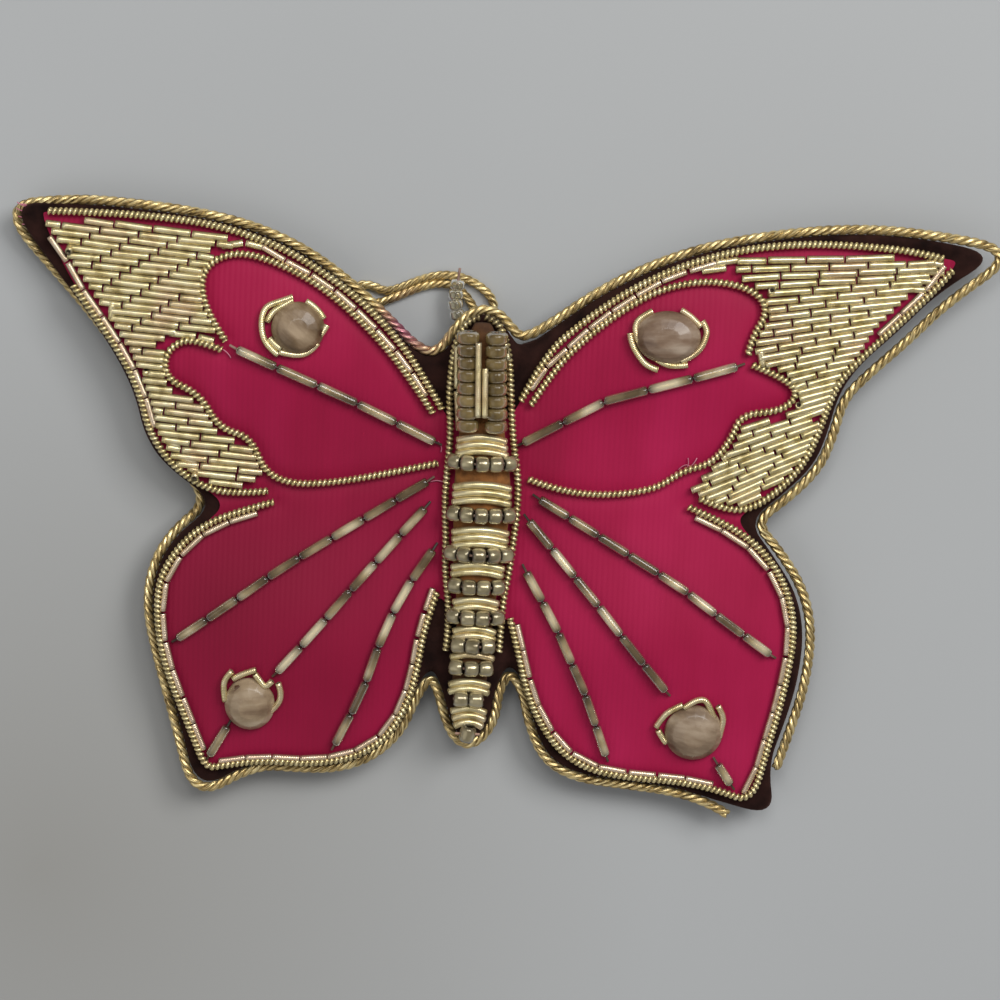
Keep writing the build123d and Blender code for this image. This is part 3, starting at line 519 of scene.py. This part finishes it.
def coil(pieces, line):
    """Coiled wire: a tube with a helical groove and painted shade in the groove."""
    points, places = spaced(line, coil_pitch / coil_steps)
    turns = 2 * np.pi * np.arange(coil_sides) / coil_sides
    wave = 0.5 + 0.5 * np.cos(2 * np.pi * places[:, None] / coil_pitch - turns[None, :])
    radii = coil_radius - coil_groove * (1 - np.sqrt(wave))
    pieces.tube(points, places, radii, coil_sides, shade=np.sqrt(wave))


def plain_tube(pieces, line, step, radius, sides, **looks):
    """Add a tube of one radius along a line."""
    route, places = spaced(line, step)
    pieces.tube(route, places, np.full(len(route), radius), sides, **looks)


def straight_purl(pieces, line, radius=purl_radius):
    """A straight length of purl, with painted light on top and painted shade down its sides."""
    plain_tube(pieces, line, purl_step, radius, purl_sides, hollow=purl_mouth, shade=top_lit(purl_sides))


def bent_purl(pieces, line, radius=purl_radius):
    """A bent length of purl."""
    plain_tube(pieces, line, bent_step, radius, purl_sides, hollow=purl_mouth)


def islands(node):
    """Vertices of each solid of a CAD node."""
    grid = bmesh.new()
    grid.from_mesh(nodes[node].data)
    bmesh.ops.remove_doubles(grid, verts=grid.verts, dist=weld_distance)
    left = set(grid.verts)
    found = []
    for vertex in list(grid.verts):
        if vertex not in left:
            continue
        left.discard(vertex)
        reach = [vertex]
        for here in reach:
            for edge in here.link_edges:
                other = edge.other_vert(here)
                if other in left:
                    left.discard(other)
                    reach.append(other)
        found.append(np.array([here.co for here in reach]))
    grid.free()
    return found


def rod_ends(corners):
    """Middles of the two ends of a long solid."""
    middle = corners.mean(axis=0)
    _, _, axes = np.linalg.svd(corners - middle)
    along = (corners - middle) @ axes[0]
    return middle + axes[0] * along.min(), middle + axes[0] * along.max()


# Materials
def shader_of(made):
    """The shader node of a material."""
    return made.node_tree.nodes["Principled BSDF"]


def add_node(made, kind, **values):
    """Add a node; its inputs are set by name."""
    node = made.node_tree.nodes.new(kind)
    for name, value in values.items():
        node.inputs[name.replace("_", " ")].default_value = value
    return node


def join(made, source, output, target, socket):
    """Link two sockets."""
    made.node_tree.links.new(source.outputs[output], target.inputs[socket])


def noise_on(made, scale, detail, stretch=(1, 1, 1), turn=0.0, coordinate="Object"):
    """Noise texture in object or surface coordinates, stretched and turned about the upright."""
    where = add_node(made, "ShaderNodeTexCoord")
    mapping = add_node(made, "ShaderNodeMapping", Scale=stretch, Rotation=(0, 0, turn))
    mapping.vector_type = "TEXTURE"
    texture = add_node(made, "ShaderNodeTexNoise", Scale=scale, Detail=detail)
    join(made, where, coordinate, mapping, "Vector")
    join(made, mapping, "Vector", texture, "Vector")
    return texture


def waves_on(made, coordinate, pitch, distortion=0.0):
    """Bands that lie one pitch apart along the first coordinate."""
    where = add_node(made, "ShaderNodeTexCoord")
    texture = add_node(made, "ShaderNodeTexWave", Scale=wave_share / pitch, Distortion=distortion)
    join(made, where, coordinate, texture, "Vector")
    return texture


def material(name, grain, stops, roughness, metallic=0.0, **sockets):
    """Principled material coloured through a ramp by a noise; the grain is what the noise takes."""
    made = bpy.data.materials.new(name)
    made.use_nodes = True
    sockets.update(Roughness=roughness, Metallic=metallic)
    for socket, value in sockets.items():
        shader_of(made).inputs[socket.replace("_", " ")].default_value = value
    ramp = add_node(made, "ShaderNodeValToRGB")
    while len(ramp.color_ramp.elements) < len(stops):
        ramp.color_ramp.elements.new(0.5)
    for element, (position, colour) in zip(ramp.color_ramp.elements, stops):
        element.position = position
        element.color = (*colour, 1)
    join(made, noise_on(made, *grain), "Fac", ramp, "Fac")
    join(made, ramp, "Color", shader_of(made), "Base Color")
    return made


def mixed(made, share, output, colour):
    """Blend the base colour with another by a share."""
    before = shader_of(made).inputs["Base Color"].links[0].from_socket
    blend = add_node(made, "ShaderNodeMix")
    blend.data_type = "RGBA"
    blend.inputs[7].default_value = (*colour, 1)
    made.node_tree.links.new(before, blend.inputs[6])
    join(made, share, output, blend, 0)
    made.node_tree.links.new(blend.outputs[2], shader_of(made).inputs["Base Color"])


def shaded(made, dark):
    """Darken the base colour where the shade of the points is low."""
    shade = add_node(made, "ShaderNodeAttribute")
    shade.attribute_name = "shade"
    depth = add_node(made, "ShaderNodeMapRange", To_Min=1, To_Max=0)
    join(made, shade, "Fac", depth, "Value")
    mixed(made, depth, "Result", dark)


def stain_and_painted_shade(made, patch, height, colour):
    """Blend the base colour into another round the middle of a patch; some patches are stains and some are
    painted shade.
    """
    reach = stain_and_shade_reach[patch]
    where = add_node(made, "ShaderNodeTexCoord")
    mapping = add_node(made, "ShaderNodeMapping", Scale=(1 / reach, 1 / reach, 1 / reach),
                       Location=[-value / reach for value in place(stain_and_shade_pixels[patch], height)])
    texture = add_node(made, "ShaderNodeTexGradient")
    texture.gradient_type = "SPHERICAL"
    join(made, where, "Object", mapping, "Vector")
    join(made, mapping, "Vector", texture, "Vector")
    mixed(made, texture, "Fac", colour)


def bump(made, source, strength, distance):
    """Raise a surface by a texture."""
    normal = shader_of(made).inputs["Normal"]
    raised = add_node(made, "ShaderNodeBump", Strength=strength, Distance=distance)
    if normal.links:
        made.node_tree.links.new(normal.links[0].from_socket, raised.inputs["Normal"])
    join(made, source, "Fac", raised, "Height")
    made.node_tree.links.new(raised.outputs["Normal"], normal)


# At a scale of 1, the wave texture repeats after this share of a unit
wave_share = 2 * math.pi / 20

silk = material("silk", (60, 5, (1, 2.8, 1)), [(0.25, (0.24, 0.005, 0.032)), (0.5, (0.34, 0.007, 0.050)),
                                               (0.75, (0.42, 0.012, 0.072))], 0.6, Specular_IOR_Level=0.16,
                Sheen_Weight=0.08, Sheen_Roughness=0.4, Sheen_Tint=(0.95, 0.35, 0.5, 1))
# Painted shade: the silk darkens round the left hindwing, where the light falls off
stain_and_painted_shade(silk, "silk", rim_height, (0.2, 0.005, 0.026))
bump(silk, waves_on(silk, "Object", silk_rib, 0.6), 0.45, silk_rib_depth)
bump(silk, noise_on(silk, 900, 2), 0.12, silk_grain_depth)

velvet = material("velvet", (250, 6), [(0.3, (0.008, 0.0035, 0.003)), (0.7, (0.034, 0.013, 0.010))], 0.95,
                  Specular_IOR_Level=0.1, Sheen_Weight=0.16, Sheen_Roughness=0.5,
                  Sheen_Tint=(0.35, 0.16, 0.12, 1))
bump(velvet, noise_on(velvet, 1600, 4), 0.6, velvet_nap_depth)

plies = (1.0, 2, (3.0, 0.1, 1), 0.0, "UV")
gold_cord = material("gold_cord", plies, [(0.32, (0.13, 0.08, 0.03)), (0.5, (0.68, 0.50, 0.21)),
                                          (0.68, (0.99, 0.83, 0.44))], 0.33, 0.75)
# Painted shade between the strands; the mauve patch is a stain
shaded(gold_cord, (0.02, 0.012, 0.007))
stain_and_painted_shade(gold_cord, "cord", seam_height, (0.42, 0.09, 0.24))
bump(gold_cord, noise_on(gold_cord, *plies), 0.9, ply_depth)

coiled_wire = material("coiled_wire", (0.7, 3, (1, 1, 1), 0.0, "UV"),
                       [(0.3, (0.60, 0.47, 0.20)), (0.55, (0.89, 0.74, 0.38)), (0.8, (0.99, 0.87, 0.53))],
                       0.27, 0.75)
# Painted shade in the coil's groove; the wire is also darker round the top of the head
shaded(coiled_wire, (0.05, 0.025, 0.012))
stain_and_painted_shade(coiled_wire, "coil", rim_height, (0.04, 0.022, 0.014))


def purl_material(name, dull, middling, bright):
    """Smooth coiled metal thread: three tones, a rosy tinge in places and fine turns, with painted shade in
    the grooves between turns and painted light from the points' shade.
    """
    made = material(name, (500, 3), [(0.3, dull), (0.5, middling), (0.75, bright)], 0.25, 0.75)
    blush = add_node(made, "ShaderNodeMapRange", From_Min=0.5, From_Max=0.7, To_Max=0.4)
    join(made, noise_on(made, 110, 2), "Fac", blush, "Value")
    mixed(made, blush, "Result", (0.80, 0.52, 0.40))
    turns = waves_on(made, "UV", purl_turn / mm)
    # Painted shade in the grooves between the turns
    turn_groove_shade = add_node(made, "ShaderNodeMapRange", To_Min=0.2, To_Max=0)
    join(made, turns, "Fac", turn_groove_shade, "Value")
    mixed(made, turn_groove_shade, "Result", (0.2, 0.12, 0.06))
    # Painted light and shade from the points' shade
    shaded(made, (0.03, 0.018, 0.01))
    bump(made, turns, 0.3, purl_turn_depth)
    return made


purl = purl_material("purl", (0.56, 0.45, 0.19), (0.86, 0.74, 0.41), (0.96, 0.87, 0.57))
rose_purl = purl_material("rose_purl", (0.70, 0.52, 0.34), (0.86, 0.67, 0.47), (0.94, 0.79, 0.60))

bugle_glass = material("bugle_glass", (130, 2), [(0.40, (0.19, 0.13, 0.06)), (0.52, (0.55, 0.43, 0.23)),
                                                 (0.62, (0.98, 0.86, 0.57))], 0.15,
                       Transmission_Weight=0.4, IOR=1.45, Coat_Weight=0.5)
# Painted highlight and shade on the bugle glass and lining, from the points' shade
shaded(bugle_glass, (0.035, 0.02, 0.01))
bugle_lining = material("bugle_lining", (130, 2), [(0.38, (0.26, 0.18, 0.09)), (0.52, (0.55, 0.43, 0.25)),
                                                   (0.66, (0.95, 0.86, 0.62))], 0.3, 1.0)
shaded(bugle_lining, (0.04, 0.025, 0.015))

clear_bead = material("clear_bead", (300, 2), [(0.3, (0.55, 0.49, 0.31)), (0.7, (0.80, 0.75, 0.57))], 0.06,
                      Transmission_Weight=0.85, IOR=1.5)
silver_bead = material("silver_bead", (400, 2), [(0.3, (0.19, 0.15, 0.075)), (0.7, (0.54, 0.46, 0.27))],
                       0.2, 0.4, Transmission_Weight=0.25, IOR=1.5, Coat_Weight=0.4)
# Painted shade where the seed beads meet and in their bores
shaded(silver_bead, (0.03, 0.02, 0.012))
amber_bead = material("amber_bead", (350, 3), [(0.3, (0.13, 0.085, 0.028)), (0.7, (0.38, 0.27, 0.105))],
                      0.18, Transmission_Weight=0.4, IOR=1.45)
# Painted shade where the thorax beads meet and in their bores
shaded(amber_bead, (0.10, 0.065, 0.022))

# Each stone has its own streaks: their angle, and a dark, a middling and a pale colour
stone_looks = {
    "left_forewing": (-40, (0.05, 0.027, 0.012), (0.18, 0.115, 0.06), (0.37, 0.27, 0.17)),
    "right_forewing": (4, (0.08, 0.036, 0.02), (0.21, 0.135, 0.085), (0.40, 0.31, 0.23)),
    "left_hindwing": (10, (0.15, 0.09, 0.05), (0.32, 0.23, 0.14), (0.50, 0.40, 0.28)),
    "right_hindwing": (-14, (0.10, 0.055, 0.03), (0.25, 0.175, 0.11), (0.44, 0.34, 0.24)),
}
stone_glass = {}
for name, (streak_deg, dark, middling, pale) in stone_looks.items():
    made = material(f"{name}_stone_glass", (330, 6, (3.0, 0.8, 1), math.radians(streak_deg)),
                    [(0.3, dark), (0.5, middling), (0.72, pale)], 0.36,
                    Coat_Weight=0.25, Coat_Roughness=0.28, IOR=1.45)
    bump(made, noise_on(made, 500, 3), 0.1, stone_flaw_depth)
    stone_glass[name] = made

felt = material("felt", (700, 5), [(0.3, (0.14, 0.052, 0.012)), (0.7, (0.33, 0.13, 0.03))], 0.95)
# Felt darker round the top of the head, and towards the tail partly darker cloth and partly painted shade
stain_and_painted_shade(felt, "head", rim_height, (0.03, 0.014, 0.008))
stain_and_painted_shade(felt, "tail", rim_height, (0.03, 0.016, 0.009))
bump(felt, noise_on(felt, 1800, 4), 0.7, felt_fuzz_depth)

thread = material("thread", (800, 3), [(0.3, (0.30, 0.16, 0.11)), (0.7, (0.56, 0.38, 0.28))], 0.7)
bump(thread, noise_on(thread, 3000, 2), 0.5, thread_twist_depth)
dark_thread = material("dark_thread", (180, 3), [(0.42, (0.03, 0.017, 0.01)), (0.58, (0.12, 0.06, 0.04)),
                                                 (0.75, (0.5, 0.32, 0.26))], 0.6)
pink_thread = material("pink_thread", (400, 3), [(0.3, (0.30, 0.04, 0.08)), (0.7, (0.66, 0.25, 0.34))], 0.7)

floor_paint = material("floor_paint", (6, 3), [(0.3, (0.41, 0.42, 0.42)), (0.7, (0.44, 0.45, 0.45))], 0.7)
# Painted shade: the floor darkens towards the lower left
stain_and_painted_shade(floor_paint, "floor", 0, (0.325, 0.32, 0.30))

# Padded velvet form: its back, sides and the rim that shows round the silk
seam_names = [name for name, spots in seam_pixels.items() for _ in spots]
seam_points = [place(spot, seam_height) for spots in seam_pixels.values() for spot in spots]
seam_points = mitred(seam_points, [-hem_tuck.get(name, 0) for name in seam_names])
back_points = []
for name, point in zip(seam_names, seam_points):
    middle = pad_centres.get(stretch_wings.get(name), point)
    across_share = loop_room_across_share if name == loop_room_stretch else draw_in_across_share
    back_points.append(Vector((point.x + (middle.x - point.x) * draw_in_along_share,
                               point.y + (middle.y - point.y) * across_share, 0)))
for i, spot in enumerate(back_head_pixels):
    back_points[seam_names.index("head") + i] = place(spot, 0)


def silk_side(side):
    """Outline of the silk down one side: from the body round the tip and the waist to the tail."""
    outlines = wing_line_pixels[side]
    corners = silk_corner_pixels[side]
    forewing = corners["body"] + outlines["forewing_edge"] + corners["tip"] + outlines["forewing_side"][:-2]
    return forewing + corners["waist"] + outlines["hindwing_edge"][2:] + corners["tail"]


silk_spots = silk_side("right") + silk_side("left")[::-1]

# Lines that are sewn down, where the cloth is pulled in
sewn_lines = [spline_points([on_silk(spot, 0) for spot in spots])
              for lines in wing_line_pixels.values() for spots in lines.values()]
sewn = kdtree.KDTree(sum(len(line) for line in sewn_lines))
for i, point in enumerate(np.concatenate(sewn_lines)):
    sewn.insert(point, i)
sewn.balance()


def cloth_height(x, y):
    """Height of the cloth: crowned, pulled in along the sewn lines and a little uneven."""
    height = crown(x, y)
    _, _, away = sewn.find((x, y, height))
    height -= sewn_depth * math.exp(-(away / sewn_reach) ** 2)
    return height + ripple * noise.noise(Vector((x, y, 0)) / ripple_size)


def filled(outline, pitch):
    """Triangles that fill an outline, with points an even pitch apart inside it."""
    edge = kdtree.KDTree(len(outline))
    for i, point in enumerate(outline):
        edge.insert((point[0], point[1], 0), i)
    edge.balance()
    flat = [Vector((point[0], point[1])) for point in outline]
    low = np.min(outline, axis=0)
    high = np.max(outline, axis=0)
    for i, y in enumerate(np.arange(low[1], high[1], pitch * math.sqrt(3) / 2)):
        for x in np.arange(low[0] + (i % 2) * pitch / 2, high[0], pitch):
            if edge.find((x, y, 0))[2] > pitch * edge_room_share:
                flat.append(Vector((x, y)))
    loop = list(range(len(outline)))
    points, _, faces, _, _, _ = geometry.delaunay_2d_cdt(flat, [], [loop], 1, fill_tolerance)
    return points, faces


def quads_between(low, high, count):
    """Faces between two closed rings of points, given where each ring starts."""
    return [(low + (k + 1) % count, low + k, high + k, high + (k + 1) % count) for k in range(count)]


silk_outline = spline_points([on_silk(spot, 0) for spot in silk_spots], closed=True)
points, faces = filled(silk_outline, cloth_pitch)
corners = [(point.x, point.y, cloth_height(point.x, point.y)) for point in points]
mesh = smooth_mesh("silk_front", corners, faces)
silk_front = add_piece("silk_front", mesh, silk)
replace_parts(silk_front, "front_cover", "wadding")

seam_line = spline_points(seam_points, closed=True)
back_line = spline_points(back_points, closed=True)
rim_line = spline_points(mitred(seam_points, [-rim_inset for _ in seam_points]), closed=True)
top_line = spline_points(mitred(seam_points, [-top_inset for _ in seam_points]), closed=True)
rings = []
for height_share, out_share in side_ring_shares:
    ring = back_line + (seam_line - back_line) * out_share
    ring[:, 2] = seam_height * height_share
    rings.append(ring)
rim_line[:, 2] = rim_height - rim_drop
rings.append(rim_line)
top_points, top_faces = filled(top_line, velvet_pitch)
bottom_points, bottom_faces = filled(back_line, back_pitch)
count = len(seam_line)
corners = [tuple(corner) for ring in rings for corner in ring]
quads = []
for i in range(len(rings) - 1):
    quads += quads_between(i * count, (i + 1) * count, count)
top_base = len(corners)
corners += [(point.x, point.y, cloth_height(point.x, point.y) - velvet_depth) for point in top_points]
quads += quads_between(top_base - count, top_base, count)
quads += [tuple(top_base + corner for corner in face) for face in top_faces]
bottom_base = len(corners)
corners += [(point.x, point.y, 0) for point in bottom_points]
quads += quads_between(bottom_base, 0, count)
quads += [tuple(bottom_base + corner for corner in reversed(face)) for face in bottom_faces]
velvet_pad = add_piece("velvet_pad", smooth_mesh("velvet_pad", corners, quads), velvet)
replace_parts(velvet_pad, "back_cover")

# Edge cord round the seam, from one side of the right tail to the other
cord_line = []
cord_offsets = []
for name, seam, back in zip(seam_names, seam_points, back_points):
    drop = cord_drop.get(name, 0)
    lean = math.atan2(math.hypot(back.x - seam.x, back.y - seam.y), seam_height) if drop else 0
    cord_line.append(seam + (back - seam) * (drop / seam_height))
    cord_offsets.append(cord_reach / math.cos(lean) + cord_slack.get(name, 0))
cord_ring = mitred(cord_line, cord_offsets)
tail = seam_names.index("right_tail")
cord_route = [place(cord_start_pixels, seam_height)] + cord_ring[tail + 1:] + cord_ring[:tail]
cord_route[-1] = place(cord_end_pixels, seam_height)
pieces = Pieces()
rope(pieces, spline_points(cord_route), edge_cord_radius, cord_lay)
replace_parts(pieces.finish("twisted_edge_cord", gold_cord), "edge_cord")

# Hanging loop
loop_line = spline_points([place(spot, loop_height) for spot in loop_pixels])
pieces = Pieces()
rope(pieces, loop_line, loop_cord_radius, loop_lay)
hanging_loop = pieces.finish("twisted_hanging_loop", gold_cord, "loop")
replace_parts(hanging_loop, "hanging_loop")

# Coiled wire along the outlines
coil_nodes = {"forewing_edge": "forewing_edge_coil", "forewing_side": "forewing_edge_coil",
              "cell_upper": "forewing_cell_coil", "cell_lower": "forewing_cell_coil",
              "hindwing_edge": "hindwing_edge_coil", "body": "body_coil"}
for side, lines in wing_line_pixels.items():
    for node in dict.fromkeys(coil_nodes.values()):
        pieces = Pieces()
        for line, spots in lines.items():
            if coil_nodes[line] == node:
                coil(pieces, spline_points([on_silk(spot, coil_radius + seat_gap / 2) for spot in spots]))
        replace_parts(pieces.finish(f"{side}_{node}_wire", coiled_wire), f"{side}_{node}")


# Cut purl, in straight lengths with open ends
def laid_fill(run, runs):
    """A piece of the fill, carried on to the coils where no other piece meets it, and a little uneven."""
    ends = np.concatenate([np.asarray(other) for other in runs])
    along = (run[1] - run[0]) / np.linalg.norm(run[1] - run[0])
    moved = []
    for end, way in zip(run, (-along, along)):
        away = np.linalg.norm(ends - end, axis=1)
        free = np.sum(away < fill_joint) < 2
        lift = fill_uneven * noise.noise(Vector(end) / uneven_size)
        drift = fill_uneven * noise.noise(Vector(end + way * wing_span) / uneven_size)
        moved.append(end + way * (fill_stretch if free else 0) + np.array([0, drift, lift]))
    return moved


def beside_coil(run):
    """A piece of purl moved up against the nearest coil."""
    moved = []
    for end in run:
        nearest, _, away = sewn.find(Vector(end))
        gap = max(0, away - coil_radius - purl_radius) if away < 2 * (coil_radius + purl_radius) else 0
        step = np.array([nearest.x - end[0], nearest.y - end[1], 0])
        moved.append(end + step / np.linalg.norm(step) * gap)
    return moved


for side in ("left", "right"):
    for node in ("forewing_purl", "hindwing_purl"):
        pieces = Pieces()
        for corners in islands(f"{side}_{node}"):
            straight_purl(pieces, beside_coil(rod_ends(corners)))
        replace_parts(pieces.finish(f"{side}_{node}_pieces", rose_purl), f"{side}_{node}")
    pieces = Pieces()
    runs = [rod_ends(corners) for corners in islands(f"{side}_wing_tip_fill")]
    for run in runs:
        straight_purl(pieces, laid_fill(run, runs), fill_radius)
    for spots in gap_purl_pixels[side]:
        straight_purl(pieces, [on_silk(spot, purl_radius) for spot in spots], fill_radius)
    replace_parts(pieces.finish(f"{side}_wing_tip_fill_pieces", purl), f"{side}_wing_tip_fill")


def painted(node, look):
    """Give a CAD node that stays in view its material."""
    nodes[node].data.materials.clear()
    nodes[node].data.materials.append(look)


# Bugle beads: glass tubes with a metal lining
for side in ("left", "right"):
    for vein in ("forewing_vein", "hindwing_upper_vein", "hindwing_middle_vein", "hindwing_lower_vein"):
        glass = Pieces()
        lining = Pieces()
        for corners in islands(f"{side}_{vein}"):
            start, end = rod_ends(corners)
            reach = (end - start) / np.linalg.norm(end - start) * bugle_reach
            route, places = spaced([start - reach, end + reach], bugle_step)
            radii = np.full(len(route), bugle_radius)
            radii[[0, -1]] *= bugle_end_share
            # Painted light on the glass: shade towards the ends and down the sides, a highlight along the
            # top
            ends = 1 - np.abs(2 * places / places[-1] - 1) ** 3.5
            glass.tube(route, places, radii, bugle_sides, shade=ends[:, None] * top_lit(bugle_sides) ** 2)
            inner, places = spaced([start, end], bugle_step)
            # Painted light on the lining: a highlight in the middle, shade at the ends
            lining_painted_light = 1 - np.abs(2 * places / places[-1] - 1) ** 3
            radii = np.full(len(inner), bugle_radius * lining_share)
            lining.tube(inner, places, radii, purl_sides, shade=lining_painted_light[:, None])
        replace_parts(glass.finish(f"{side}_{vein}_glass", bugle_glass), f"{side}_{vein}")
        lining.finish(f"{side}_{vein}_lining", bugle_lining)
        painted(f"{side}_{vein}_thread", dark_thread)

painted("antenna_thread", dark_thread)
for node in ("abdomen_threads", "thorax_threads", "loop_tack"):
    painted(node, thread)


def bead(pieces, middle, run, radius, length):
    """Round-shouldered glass bead with an open bore, with painted shade at its ends and in its bore."""
    run = run / np.linalg.norm(run)
    share = np.linspace(-1, 1, bead_rings)
    swell = (1 - bead_shoulder_share * np.abs(share) ** 4) * radius
    route = middle + run * (share * length / 2)[:, None]
    shade = (1 - np.abs(share) ** 6)[:, None]
    pieces.tube(route, (share + 1) * length / 2, swell, bead_sides, hollow=length / 3, shade=shade)


# Seed beads: each one's bore points at its nearest neighbour
bead_looks = {"abdomen_beads": ("abdomen", silver_bead, "butterfly"),
              "left_thorax_beads": ("thorax", amber_bead, "butterfly"),
              "right_thorax_beads": ("thorax", amber_bead, "butterfly"),
              "antenna_beads": ("antenna", clear_bead, "antenna")}
for node, (size, glass, body) in bead_looks.items():
    middles = np.array([corners.mean(axis=0) for corners in islands(node)])
    pieces = Pieces()
    for i, middle in enumerate(middles):
        away = np.linalg.norm(middles - middle, axis=1)
        away[i] = wing_span
        length = min(bead_lengths[size], bead_room_share * away.min())
        bead(pieces, middle, middles[away.argmin()] - middle, bead_radii[size], length)
    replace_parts(pieces.finish(f"{node}_glass", glass, body), node)

# Bent purl bands across the body, and the straight purl on the thorax
pieces = Pieces()
for corners in islands("abdomen_purl_bands"):
    low, high = corners[:, 0].min(), corners[:, 0].max()
    ends = [corners[np.abs(corners[:, 0] - edge) < band_radius].mean(axis=0) for edge in (low, high)]
    middle = corners.mean(axis=0)
    middle[2] = corners[:, 2].max() - band_radius
    share = np.linspace(0, 1, band_points)[:, None]
    pull = 2 * middle - (ends[0] + ends[1]) / 2
    route = ends[0] * (1 - share) ** 2 + pull * 2 * share * (1 - share) + ends[1] * share ** 2
    route[:, 1] -= band_droop * (2 * share[:, 0] - 1) ** 2
    bent_purl(pieces, route, band_radius)
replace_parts(pieces.finish("abdomen_bands", purl), "abdomen_purl_bands")
pieces = Pieces()
thorax_runs = [sorted(rod_ends(corners), key=lambda end: end[1]) for corners in islands("thorax_purl")]
thorax_runs.sort(key=lambda run: run[0][0])
for (low, high), top_share in zip(thorax_runs, thorax_top_shares):
    straight_purl(pieces, [low, low + (high - low) * top_share])
for spots in side_purl_pixels:
    straight_purl(pieces, [place(spot, side_purl_height) for spot in spots])
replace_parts(pieces.finish("thorax_purl_pieces", purl), "thorax_purl")

# Felt padding of the body
mould = bpy.data.objects.new("felt_mould", nodes["body_core"].data.copy())
bpy.context.collection.objects.link(mould)
remesh = mould.modifiers.new("remesh", "REMESH")
remesh.mode = "VOXEL"
remesh.voxel_size = felt_voxel
soften = mould.modifiers.new("soften", "SMOOTH")
soften.iterations = felt_softening
mesh = bpy.data.meshes.new_from_object(mould.evaluated_get(bpy.context.evaluated_depsgraph_get()))
bpy.data.objects.remove(mould)
mesh.materials.clear()
mesh.shade_smooth()
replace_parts(add_piece("body_felt", mesh, felt), "body_core")

# Stones, rounded from their solids, which draws them in, and grown to meet the bent purl round each
for name, arcs in stone_ring_pixels.items():
    mesh = nodes[f"{name}_stone"].data.copy()
    mesh.materials.clear()
    mesh.shade_smooth()
    middle = sum((vertex.co for vertex in mesh.vertices), Vector()) / len(mesh.vertices)
    wider, longer = stone_growth_shares[name]
    for vertex in mesh.vertices:
        vertex.co.x = middle.x + (vertex.co.x - middle.x) * wider
        vertex.co.y = middle.y + (vertex.co.y - middle.y) * longer + stone_shift.get(name, 0)
    cabochon = add_piece(f"{name}_cabochon", mesh, stone_glass[name])
    weld = cabochon.modifiers.new("weld", "WELD")
    weld.merge_threshold = weld_distance
    rounding = cabochon.modifiers.new("rounding", "SUBSURF")
    rounding.levels = stone_rounding
    rounding.render_levels = stone_rounding
    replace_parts(cabochon, f"{name}_stone")
    pieces = Pieces()
    for spots in arcs:
        bent_purl(pieces, spline_points([on_silk(spot, ring_lift) for spot in spots]))
    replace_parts(pieces.finish(f"{name}_ring_pieces", purl), f"{name}_stone_ring")

for spot in facet_pixels:
    facet = bmesh.new()
    bmesh.ops.create_cone(facet, cap_ends=True, segments=facet_sides, radius1=facet_radius,
                          radius2=facet_radius / 2, depth=facet_height)
    mesh = bpy.data.meshes.new("left_hindwing_facet")
    facet.to_mesh(mesh)
    facet.free()
    mesh.transform(Matrix.Translation(on_silk(spot, facet_height / 2 + seat_gap)))
    add_piece("left_hindwing_facet", mesh, stone_glass["right_forewing"])

# Loose threads and the frayed tip
pieces = Pieces()
thread_lines = [[on_silk(spot, seat_gap) for spot in spots] for spots in loose_thread_pixels]
thread_lines += [[place(spot, seam_height) for spot in spots] for spots in fray_pixels]
for line in thread_lines:
    plain_tube(pieces, spline_points(line), rope_step, thread_radius, thread_sides)
pieces.finish("loose_threads", pink_thread)

# Floor and lights
half = floor_half_width
corners = [(-half, -half, 0), (half, -half, 0), (half, half, 0), (-half, half, 0)]
mesh = smooth_mesh("floor", corners, [(0, 1, 2, 3)])
floor = bpy.data.objects.new("floor", mesh)
bpy.context.collection.objects.link(floor)
mesh.materials.append(floor_paint)
for name, (spot, width, power) in lamps.items():
    data = bpy.data.lights.new(name, "AREA")
    data.size = width
    data.energy = power
    lamp = bpy.data.objects.new(name, data)
    bpy.context.collection.objects.link(lamp)
    lamp.location = spot
    lamp.rotation_euler = (-Vector(spot)).to_track_quat("-Z", "Y").to_euler()
world = bpy.data.worlds.new("studio")
world.use_nodes = True
background = world.node_tree.nodes["Background"]
background.inputs["Color"].default_value = (*world_colour, 1)
background.inputs["Strength"].default_value = world_strength
bpy.context.scene.world = world
bpy.context.scene.view_settings.view_transform = "Standard"
